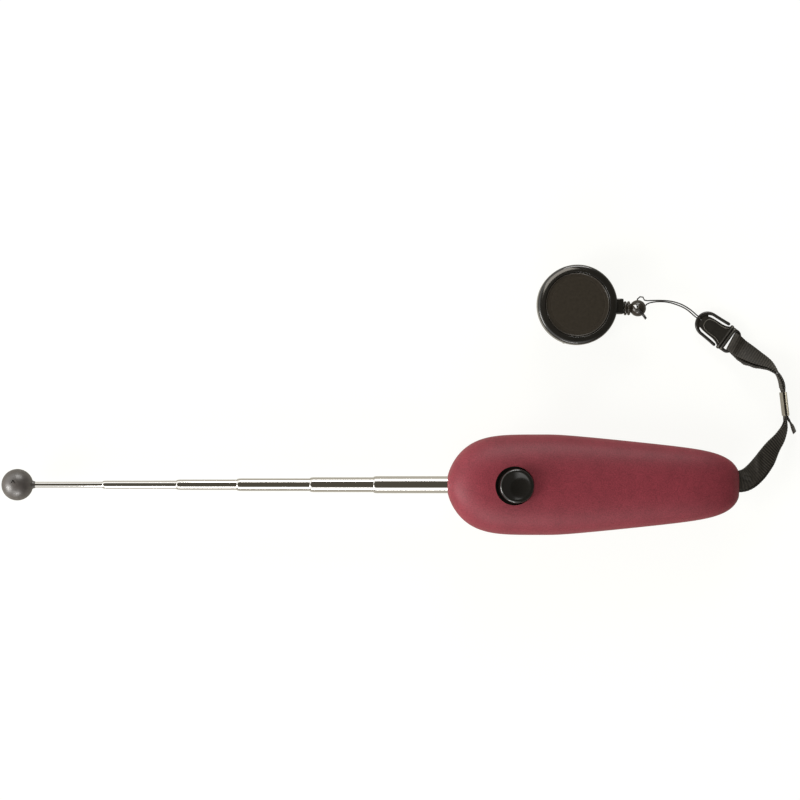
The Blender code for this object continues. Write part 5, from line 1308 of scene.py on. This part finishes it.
class TARGETSTICK_OT_handle(Operator):
    """Make the two coated halves of the handle, with wells for the heads of their screws"""
    bl_idname = "target_stick.handle"
    bl_label = "Handle"

    def execute(self, context):
        settings = context.scene.target_stick_handle
        stick = context.scene.target_stick_stick
        button = context.scene.target_stick_button
        coating = soft_touch_coating(tuple(settings.colour), settings.grain)
        bore = (stick.rod_diameter + (SECTION_COUNT - 1) * stick.step) / 2 + BORE_CLEARANCE
        for upper, name, node in ((True, "handle_upper", "handle_top_shell"),
                                  (False, "handle_lower", "handle_bottom_shell")):
            half = half_form(0.0, upper, FORM_STATIONS, FORM_STEPS)
            tools = [hollow(), nose_bore(bore), strap_mouth()]
            if upper:
                tools.append(drill(button.radius + BUTTON_HOLE_CLEARANCE, BUTTON_HOLE_BOTTOM,
                                   BUTTON_HOLE_TOP, 96, button_frame(), "button hole"))
            else:
                tools += [drill(SCREW_HEAD_RADIUS + SCREW_WELL_CLEARANCE, -0.002, SCREW_WELL_DEPTH,
                                32, Matrix.Translation((x, y, 0.0)), "screw well")
                          for x, y in SCREW_PLACES]
            for tool in tools:
                half = cut(half, tool)
            shown(name, half, coating, "handle", node, slot="handle_plastic", angle=32.0)
        return {"FINISHED"}


class TARGETSTICK_OT_button(Operator):
    """Make the polished clicker button with its thumb dish"""
    bl_idname = "target_stick.button"
    bl_label = "Button"

    def execute(self, context):
        settings = context.scene.target_stick_button
        rim = settings.radius
        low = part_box("clicker_button")[0]
        depth = low.z - button_frame().translation.z + BUTTON_STEM_GAP
        flange = rim + BUTTON_FLANGE_REACH
        side = rim + BUTTON_RIM[0][0]
        corners = [(BUTTON_STEM_RADIUS, BUTTON_FLANGE_LOW, 0.0),
                   (flange, BUTTON_FLANGE_LOW, 0.0001), (flange, BUTTON_FLANGE_HIGH, 0.0001),
                   (side, BUTTON_FLANGE_HIGH, 0.0)]
        corners += [(rim + across, BUTTON_PROUD + height, reach)
                    for across, height, reach in BUTTON_RIM]
        profile = [(0.0, depth), (BUTTON_STEM_RADIUS, depth),
                   (BUTTON_STEM_RADIUS, BUTTON_FLANGE_LOW), *filleted(corners, 8)]
        edge = rim - BUTTON_DISH_INSET
        for step in range(15):
            share = step / 14
            sunk = settings.dish * (1 - (1 - share) ** 2)
            profile.append((edge * (1 - share), BUTTON_PROUD - BUTTON_DISH_DROP - sunk))
        place = Matrix.Translation((BUTTON_SHIFT, 0.0, 0.0)) @ button_frame()
        shown("button_cap", turned(profile, 96, place, "button_cap"), gloss_plastic(), "button",
              "clicker_button", slot="gloss_black_plastic", angle=50.0)
        return {"FINISHED"}


class TARGETSTICK_OT_stick(Operator):
    """Make the six chromed sections and the rubber ball"""
    bl_idname = "target_stick.stick"
    bl_label = "Stick"

    def execute(self, context):
        settings = context.scene.target_stick_stick
        chrome = chromed_tube("chrome-plated steel tube, drawn", tuple(settings.chrome), 0.07)
        bodies = ("tip", "section_2", "section_3", "section_4", "section_5", "section_6")
        for section, body in enumerate(bodies):
            outer = (settings.rod_diameter + section * settings.step) / 2
            wide = outer + TUBE_FLARE
            mouth = NOSE_X - sum(SHOWN_LENGTHS[section:])
            inner_end = ((outer, SECTION_LENGTH - 0.0012, 0.0002),
                         (wide, SECTION_LENGTH - 0.0006, 0.0001), (wide, SECTION_LENGTH, 0.0))
            if section == 0:
                corners = ((0.0, -ROD_REACH, 0.0), (outer, -ROD_REACH, 0.0002), *inner_end,
                           (0.0, SECTION_LENGTH, 0.0))
            else:
                inner = outer - TUBE_WALL
                lip = outer - settings.step / 2 + TUBE_LIP_CLEARANCE
                corners = ((lip, 0.0008, 0.0), (lip, 0.0, 0.00005), (lip + 0.00012, 0.0, 0.00008),
                           (outer - 0.00006, 0.00055, 0.00030), (outer, 0.0013, 0.0004), *inner_end,
                           (inner + TUBE_FLARE, SECTION_LENGTH, 0.0),
                           (inner, SECTION_LENGTH - 0.0008, 0.0), (inner, 0.0014, 0.0),
                           (lip, 0.0008, 0.0))
            tube = turned(filleted(corners, 4), 64, along_stick(mouth))
            shown(f"section_tube_{section + 1}", tube, chrome, body, f"stick_section_{section + 1}",
                  slot="chromed_steel", angle=50.0)
        self.make_ball(settings)
        return {"FINISHED"}

    def make_ball(self, settings):
        """Ball with a short cone towards the rod and two nicks of its mould's gate on top."""
        neck = BALL_NECK_RADIUS
        foot = math.sqrt(BALL_RADIUS ** 2 - neck ** 2)
        centre = NOSE_X - sum(SHOWN_LENGTHS) - foot - BALL_NECK_GAP
        bore = settings.rod_diameter / 2
        profile = []
        for step in range(84):
            turn = math.pi * step / 90
            if BALL_RADIUS * math.sin(turn) > neck or turn < math.pi / 2:
                profile.append((BALL_RADIUS * math.sin(turn), -BALL_RADIUS * math.cos(turn)))
        profile += filleted(((neck, foot, 0.0), (bore + 0.00030, foot + 0.0006, 0.0003),
                             (bore + 0.00012, foot + 0.0011, 0.0001),
                             (bore + 0.00004, foot + 0.0011, 0.0),
                             (bore + 0.00004, foot - 0.0010, 0.0)), 6)
        ball = turned(profile, 96, along_stick(centre))
        for x, y, turn in BALL_NICKS:
            place = (Matrix.Translation((centre + x, y, STICK_HEIGHT + BALL_NICK_HEIGHT))
                     @ Matrix.Rotation(math.radians(turn), 4, "Z"))
            nick = rounded_plate(BALL_NICK_OUTLINE, -0.00040, 0.0010, 0.00005, "nick", place)
            ball = cut(ball, nick)
        shown("ball_rubber", ball, moulded_rubber(tuple(settings.rubber)), "tip", "target_ball",
              slot="ball_rubber", angle=50.0)


def hook_outline(widths):
    """A closed outline from one side's points, mirrored over the hook's own axis."""
    return ([(along, -across) for along, across in widths]
            + [(along, across) for along, across in widths[::-1]])


def mirrored(points):
    """The same points on the hook's other side, in reverse order."""
    return [Vector((point.x, -point.y, point.z)) for point in points[::-1]]


def nose_arc(reach, half, first, last, count):
    """Points round the hook's nose between two angles from its left side."""
    middle = HOOK_NOSE_LENGTH
    points = []
    for step in range(count):
        turn = math.radians(first + (last - first) * step / (count - 1))
        points.append((middle - reach * math.sin(turn), half * math.cos(turn)))
    return points


class TARGETSTICK_OT_hook(Operator):
    """Make the moulded hook at the strap's end"""
    bl_idname = "target_stick.hook"
    bl_label = "Hook"

    def execute(self, context):
        settings = context.scene.target_stick_hook
        # The hook's ridges are painted pale above this height, as a highlight
        highlight_from = HOOK_NOSE.z + HOOK_HIGHLIGHT_HEIGHT
        plastic = satin_black("satin black acetal, moulded, ridges rubbed pale",
                              tuple(settings.colour), 0.34, 0.22, highlight_from)
        place = hook_matrix()
        bars = [self.cross_bar(place, HOOK_BAR_SETBACK + shift, HOOK_BAR_HALF_LENGTH - less, radius)
                for shift, less, radius in HOOK_BARS]
        parts = [self.arms(place), self.web(place), self.tongue(place), self.ridge(place), *bars,
                 self.strap_frame(place)]
        shown("hook_body", joined(parts, "hook_body"), plastic, "handle", "hook_clip",
              slot="matt_black_plastic", angle=42.0)
        return {"FINISHED"}

    def arms(self, place):
        """Nose band and two springy arms that splay towards their ends."""
        reach = HOOK_NOSE_LENGTH - HOOK_NOSE_BAND
        nose = HOOK_NOSE_HALF - HOOK_NOSE_BAND
        end = HOOK_HALF_WIDTH - HOOK_ROD_RADIUS
        side = [Vector((HOOK_ARM_END, end, 0.0)), Vector((0.0104, 0.65 * end + 0.35 * nose, 0.0)),
                Vector((0.0080, 0.3 * end + 0.7 * nose, 0.0))]
        arc = [Vector((x, y, 0.0)) for x, y in nose_arc(reach, nose, 0.0, 180.0, 33)]
        widest = HOOK_NOSE_BAND / HOOK_ROD_RADIUS - 1

        def swell(share):
            return 1 + widest * smooth_step(1.6 - abs(2 * share - 1) * 2.0)

        return rod_through(side + arc + mirrored(side), HOOK_ROD_RADIUS, 20, "arms", place, swell)

    def web(self, place):
        """Thin floor between the nose band and the tongue, with the cord's eye."""
        outline = nose_arc(HOOK_NOSE_LENGTH - HOOK_NOSE_BAND, HOOK_NOSE_HALF - HOOK_NOSE_BAND,
                           47, 133, 17)
        outline = [(HOOK_WEB_END, outline[0][1]), *outline, (HOOK_WEB_END, outline[-1][1])]
        web = lofted([[(x, y, z) for x, y in outline]
                      for z in (-HOOK_WEB_HALF_THICKNESS, HOOK_WEB_HALF_THICKNESS)], "web", place)
        return cut(web, self.eye(place))

    def eye(self, place):
        """Cutter for the loop cord's hole."""
        ring = [(HOOK_EYE_CENTRE + HOOK_EYE_RADIUS * math.cos(math.tau * step / 16),
                 HOOK_EYE_RADIUS * math.sin(math.tau * step / 16)) for step in range(16)]
        return lofted([[(x, y, z) for x, y in ring] for z in (-0.004, 0.004)], "eye", place)

    def tongue(self, place):
        """Flat plate between the arms, waisted in the middle."""
        widths = curve_through([(along, across, 0.0) for along, across in HOOK_TONGUE], 28)
        outline = hook_outline([(point.x, point.y) for point in widths])
        return rounded_plate(outline, -HOOK_TONGUE_HALF_THICKNESS, HOOK_TONGUE_HALF_THICKNESS,
                             HOOK_TONGUE_EDGE, "tongue", place)

    def ridge(self, place):
        """Low border round the tongue's panel; its top is painted pale as a highlight."""
        side = [Vector((along, across, HOOK_RIDGE_HEIGHT)) for along, across in HOOK_RIDGE]
        whole = side[:0:-1] + mirrored(side)[::-1]
        return rod_through(curve_through(whole, 48), HOOK_RIDGE_RADIUS, 12, "ridge", place)

    def cross_bar(self, place, along_hook, half_length, radius):
        """Bar across the hook, thicker just before each end."""
        rings = []
        for along, size in HOOK_BAR_SWELL:
            rings.append([(along_hook + size * radius * math.cos(math.tau * side / 20),
                           along * half_length,
                           size * HOOK_BAR_HALF_HEIGHT * math.sin(math.tau * side / 20))
                          for side in range(20)])
        return lofted(rings, "cross bar", place)

    def strap_frame(self, place):
        """Loop behind the cross bar that the webbing goes round."""
        near = HOOK_BAR_SETBACK
        far = STRAP_BAR_SETBACK
        half = STRAP_FRAME_HALF
        corner = STRAP_FRAME_CORNER
        route = [Vector((near, half - 0.0004, 0.0)), Vector((near + 0.0010, half, 0.0)),
                 Vector((far - corner, half, 0.0))]
        for step in range(1, 9):
            turn = math.radians(90 - 11.25 * step)
            route.append(Vector((far - corner + corner * math.cos(turn),
                                 half - corner + corner * math.sin(turn), 0.0)))
        return rod_through(route + mirrored(route), STRAP_BAR_RADIUS, 16, "strap frame", place)


class TARGETSTICK_OT_reel(Operator):
    """Make the round housing of the reel, its face and its nozzle"""
    bl_idname = "target_stick.reel"
    bl_label = "Reel"

    def execute(self, context):
        settings = context.scene.target_stick_reel
        black = gloss_plastic()
        place = Matrix.Translation(REEL_CENTRE)
        wall = REEL_RADIUS - REEL_WALL
        over = REEL_PARTING + REEL_SEAM
        under = REEL_PARTING - REEL_SEAM
        seat = FACE_RADIUS + FACE_GAP
        recess = REEL_TOP - REEL_RECESS
        front = filleted(((wall, over, 0.0), (REEL_RADIUS, over, 0.0001),
                          (REEL_RADIUS, REEL_TOP - 0.0016, 0.0008),
                          (REEL_RADIUS - 0.0004, REEL_TOP - 0.00072, 0.0003),
                          (REEL_RADIUS - 0.0010, REEL_TOP - 0.00038, 0.0005),
                          (REEL_RADIUS - 0.0019, REEL_TOP - 0.00010, 0.0006),
                          (seat + 0.00015, REEL_TOP - 0.00002, 0.0001),
                          (seat, REEL_TOP - 0.0002, 0.0001), (seat, recess, 0.0001),
                          (0.0, recess, 0.0)), 6)
        parts = [turned(front, 128, place),
                 self.nozzle(over, REEL_PARTING + NOZZLE_WIDTH / 2, True)]
        front_piece = shown("reel_front", joined(parts, "reel_front"), black, "reel",
                            "reel_front_shell", slot="gloss_black_plastic", angle=40.0)
        reel_group().objects.link(front_piece)
        floor = REEL_FLOOR + REEL_WALL
        back = filleted(((RIVET_HOLE_RADIUS, REEL_FLOOR, 0.0),
                         (REEL_RADIUS - 0.0014, REEL_FLOOR, 0.0006),
                         (REEL_RADIUS, REEL_FLOOR + 0.0014, 0.0010), (REEL_RADIUS, under, 0.0001),
                         (wall, under, 0.0), (wall, floor, 0.0003),
                         (RIVET_HOLE_RADIUS, floor, 0.0)), 6)
        parts = [turned(back, 128, place),
                 self.nozzle(REEL_PARTING - NOZZLE_WIDTH / 2, under, False)]
        shown("reel_back", joined(parts, "reel_back"), black, "reel", "reel_back_shell",
              slot="gloss_black_plastic", angle=40.0)
        low = recess + 0.0001
        top = REEL_TOP - settings.face_drop
        disc = filleted(((0.0, low, 0.0), (FACE_RADIUS, low, 0.0001),
                         (FACE_RADIUS, top - 0.0002, 0.0001),
                         (FACE_RADIUS - 0.00014, top + 0.00014, 0.00014),
                         (FACE_RADIUS - 0.00034, top + 0.00014, 0.00012),
                         (FACE_RADIUS - 0.00050, top - 0.00012, 0.0001),
                         (FACE_RADIUS - 0.0017, top - 0.00012, 0.0001),
                         (FACE_RADIUS - 0.0020, top - 0.00019, 0.0001),
                         (FACE_RADIUS - 0.0023, top - 0.00012, 0.0001),
                         (0.0, top - 0.00012, 0.0)), 5)
        shown("reel_face", turned(disc, 128, place), satin_plastic(), "reel", "reel_face_disc",
              slot="gloss_black_plastic", angle=50.0)
        clip = chromed_tube("nickel-plated spring steel, pressed", linear("#C9C7C2"), 0.16)
        dress(clip, "belt_clip")
        self.make_cord()
        return {"FINISHED"}

    def nozzle(self, low, high, upper):
        """Half of the square spout that the cord leaves through."""
        half = NOZZLE_WIDTH / 2
        start = REEL_CENTRE.x + REEL_RADIUS - 0.0016
        end = REEL_CENTRE.x + NOZZLE_END
        y = REEL_CENTRE.y + NOZZLE_Y
        rings = []
        for x, inset in ((start, 0.0), (end - 0.0005, 0.0), (end - 0.0001, 0.00012), (end, 0.0004)):
            wide = half - inset
            flat, far = (low, high - inset) if upper else (high, low + inset)
            outline = filleted(((-wide, flat, 0.0), (-wide, far, NOZZLE_CORNER),
                                (wide, far, NOZZLE_CORNER), (wide, flat, 0.0)), 4)
            rings.append([Vector((x, y + across, height)) for across, height in outline])
        return lofted(rings, "nozzle")

    def make_cord(self):
        """Cord from the winding to its moulded end."""
        around = SPOOL_CORE_RADIUS + WOUND_THICKNESS + REEL_CORD_RADIUS + REEL_CORD_GAP
        centre = REEL_CENTRE + Vector((0.0, 0.0, REEL_PARTING))
        mouth = Vector((NOZZLE_END - 0.0028, (NOZZLE_Y + END_AXIS_Y) / 2, 0.0))
        lean = math.acos(around / mouth.length)
        level = REEL_FLOOR + SPOOL_LIFT + SPOOL_HALF_HEIGHT - REEL_PARTING
        tangent = Vector((around * math.cos(lean), around * math.sin(lean), level))
        early = tangent.lerp(mouth, 0.55) + Vector((0.0, 0.0002, 0.0))
        stop = END_NECK_START + REEL_CORD_SEAT
        knots = [centre + tangent, centre + early, centre + mouth,
                 centre + Vector((NOZZLE_END, END_AXIS_Y, 0.0)),
                 centre + Vector((stop, END_AXIS_Y, 0.0))]
        mesh = rod_through(curve_through(knots, 60), REEL_CORD_RADIUS, 12, "reel_cord_thread")
        cord = linked("reel_cord_thread", mesh)
        mesh.materials.append(cord_material())
        mesh.shade_smooth()
        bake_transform(cord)
        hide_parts("reel_cord")


class TARGETSTICK_OT_cord_end(Operator):
    """Make the ribbed neck and ball at the end of the reel's cord"""
    bl_idname = "target_stick.cord_end"
    bl_label = "Cord end"

    def execute(self, context):
        middle = REEL_CENTRE + Vector((0.0, END_AXIS_Y, REEL_PARTING))
        start = END_NECK_START - 0.0002
        bottom = start + END_BORE_DEPTH
        corners = [(END_BORE_RADIUS, bottom, 0.0), (END_BORE_RADIUS, start, 0.0001),
                   (END_NECK_RADIUS, start, 0.0002)]
        for rib in END_RIBS:
            crest = start + rib
            corners += [(0.0019, crest - 0.00058, 0.0001), (0.0027, crest - 0.00050, 0.0003),
                        (0.0029, crest, 0.0003), (0.0027, crest + 0.00050, 0.0003),
                        (0.0019, crest + 0.00058, 0.0001)]
        profile = filleted(corners, 4)
        turn_in = math.asin(END_NECK_RADIUS / END_BALL_RADIUS)
        for step in range(25):
            turn = turn_in + (math.pi - turn_in) * step / 24
            profile.append((END_BALL_RADIUS * math.sin(turn) if step < 24 else 0.0,
                            END_BALL_SETBACK + END_BALL_SHIFT - END_BALL_RADIUS * math.cos(turn)))
        profile += [(0.0, bottom), (END_BORE_RADIUS, bottom)]
        ball = turned(profile, 48, Matrix.Translation(middle) @ LEVEL_Y_TURN)
        eye_frame = Matrix.Translation(END_EYE_PLACE) @ Matrix.Rotation(math.radians(-82), 4, "Z")
        eye = drill(END_EYE_RADIUS, -0.005, 0.005, 3, eye_frame, "eye")
        shown("cord_end", cut(ball, eye), satin_plastic(), "handle", "cord_end_ball",
              slot="gloss_black_plastic", angle=40.0)
        return {"FINISHED"}


class TARGETSTICK_OT_mechanism(Operator):
    """Finish the pieces inside: guide, bushes, clicker, pins, screws, spool and spring"""
    bl_idname = "target_stick.mechanism"
    bl_label = "Mechanism"

    def execute(self, context):
        colour = tuple(context.scene.target_stick_hook.colour)
        acetal = satin_black("satin black acetal, moulded", colour, 0.34, 0.22)
        screws = [f"handle_screw_{number}" for number in range(1, 5)]
        bushes = [f"friction_bush_{number}" for number in range(1, 7)]
        dress(metal("zinc-plated steel, rolled"), "guide_tube", "strap_pin", "clip_rivet", *screws)
        dress(acetal, "guide_tube_plug", "clicker_base", "reel_spool")
        dress(metal("spring steel, rolled"), "reel_spring")
        dress(metal("brass strip, rolled"), "leaf_rivet_1", "leaf_rivet_2", *bushes)
        dress(cord_material(), "reel_cord_winding")
        self.make_leaf()
        return {"FINISHED"}

    def make_leaf(self):
        """Leaf spring with its dimple."""
        low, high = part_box("clicker_leaf")
        sides = [low.y + (high.y - low.y) * row / LEAF_ROWS for row in range(LEAF_ROWS + 1)]
        rings = []
        for column in range(LEAF_COLUMNS + 1):
            x = low.x + (high.x - low.x) * column / LEAF_COLUMNS
            heights = [LEAF_DIMPLE * smooth_step(1 - math.hypot(x - BUTTON_X, y)
                                                 / LEAF_DIMPLE_RADIUS) for y in sides]
            under = [(x, y, low.z + height) for y, height in zip(sides, heights)]
            rings.append(under + [(x, y, z + LEAF_THICKNESS) for x, y, z in under[::-1]])
        mesh = lofted(rings, "leaf_strip")
        mesh.materials.append(metal("spring steel, rolled"))
        leaf = linked("leaf_strip", mesh)
        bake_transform(leaf)
        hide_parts("clicker_leaf")


class TARGETSTICK_PT_panel(Panel):
    """Lists the pieces of the target stick"""
    bl_label = "Target Stick"
    bl_idname = "TARGETSTICK_PT_panel"
    bl_space_type = "VIEW_3D"
    bl_region_type = "UI"
    bl_category = "Target Stick"

    def draw(self, context):
        for operator in OPERATORS:
            self.layout.operator(operator.bl_idname)


SETTINGS = {"target_stick_stage": StageSettings, "target_stick_handle": HandleSettings,
            "target_stick_button": ButtonSettings, "target_stick_stick": StickSettings,
            "target_stick_strap": StrapSettings, "target_stick_hook": HookSettings,
            "target_stick_reel": ReelSettings}
OPERATORS = (TARGETSTICK_OT_stage, TARGETSTICK_OT_loop_cord, TARGETSTICK_OT_hook,
             TARGETSTICK_OT_strap, TARGETSTICK_OT_handle, TARGETSTICK_OT_button,
             TARGETSTICK_OT_stick, TARGETSTICK_OT_reel, TARGETSTICK_OT_cord_end,
             TARGETSTICK_OT_mechanism)


def register():
    for group in SETTINGS.values():
        bpy.utils.register_class(group)
    for name, group in SETTINGS.items():
        setattr(bpy.types.Scene, name, PointerProperty(type=group))
    for operator in OPERATORS:
        bpy.utils.register_class(operator)
    bpy.utils.register_class(TARGETSTICK_PT_panel)


def unregister():
    bpy.utils.unregister_class(TARGETSTICK_PT_panel)
    for operator in reversed(OPERATORS):
        bpy.utils.unregister_class(operator)
    for name in SETTINGS:
        delattr(bpy.types.Scene, name)
    for group in SETTINGS.values():
        bpy.utils.unregister_class(group)


def main():
    register()
    bpy.ops.target_stick.stage()
    bpy.ops.target_stick.loop_cord()
    bpy.ops.target_stick.hook()
    bpy.ops.target_stick.strap()
    bpy.ops.target_stick.handle()
    bpy.ops.target_stick.button()
    bpy.ops.target_stick.stick()
    bpy.ops.target_stick.reel()
    bpy.ops.target_stick.cord_end()
    bpy.ops.target_stick.mechanism()


if __name__ == "__main__":
    main()
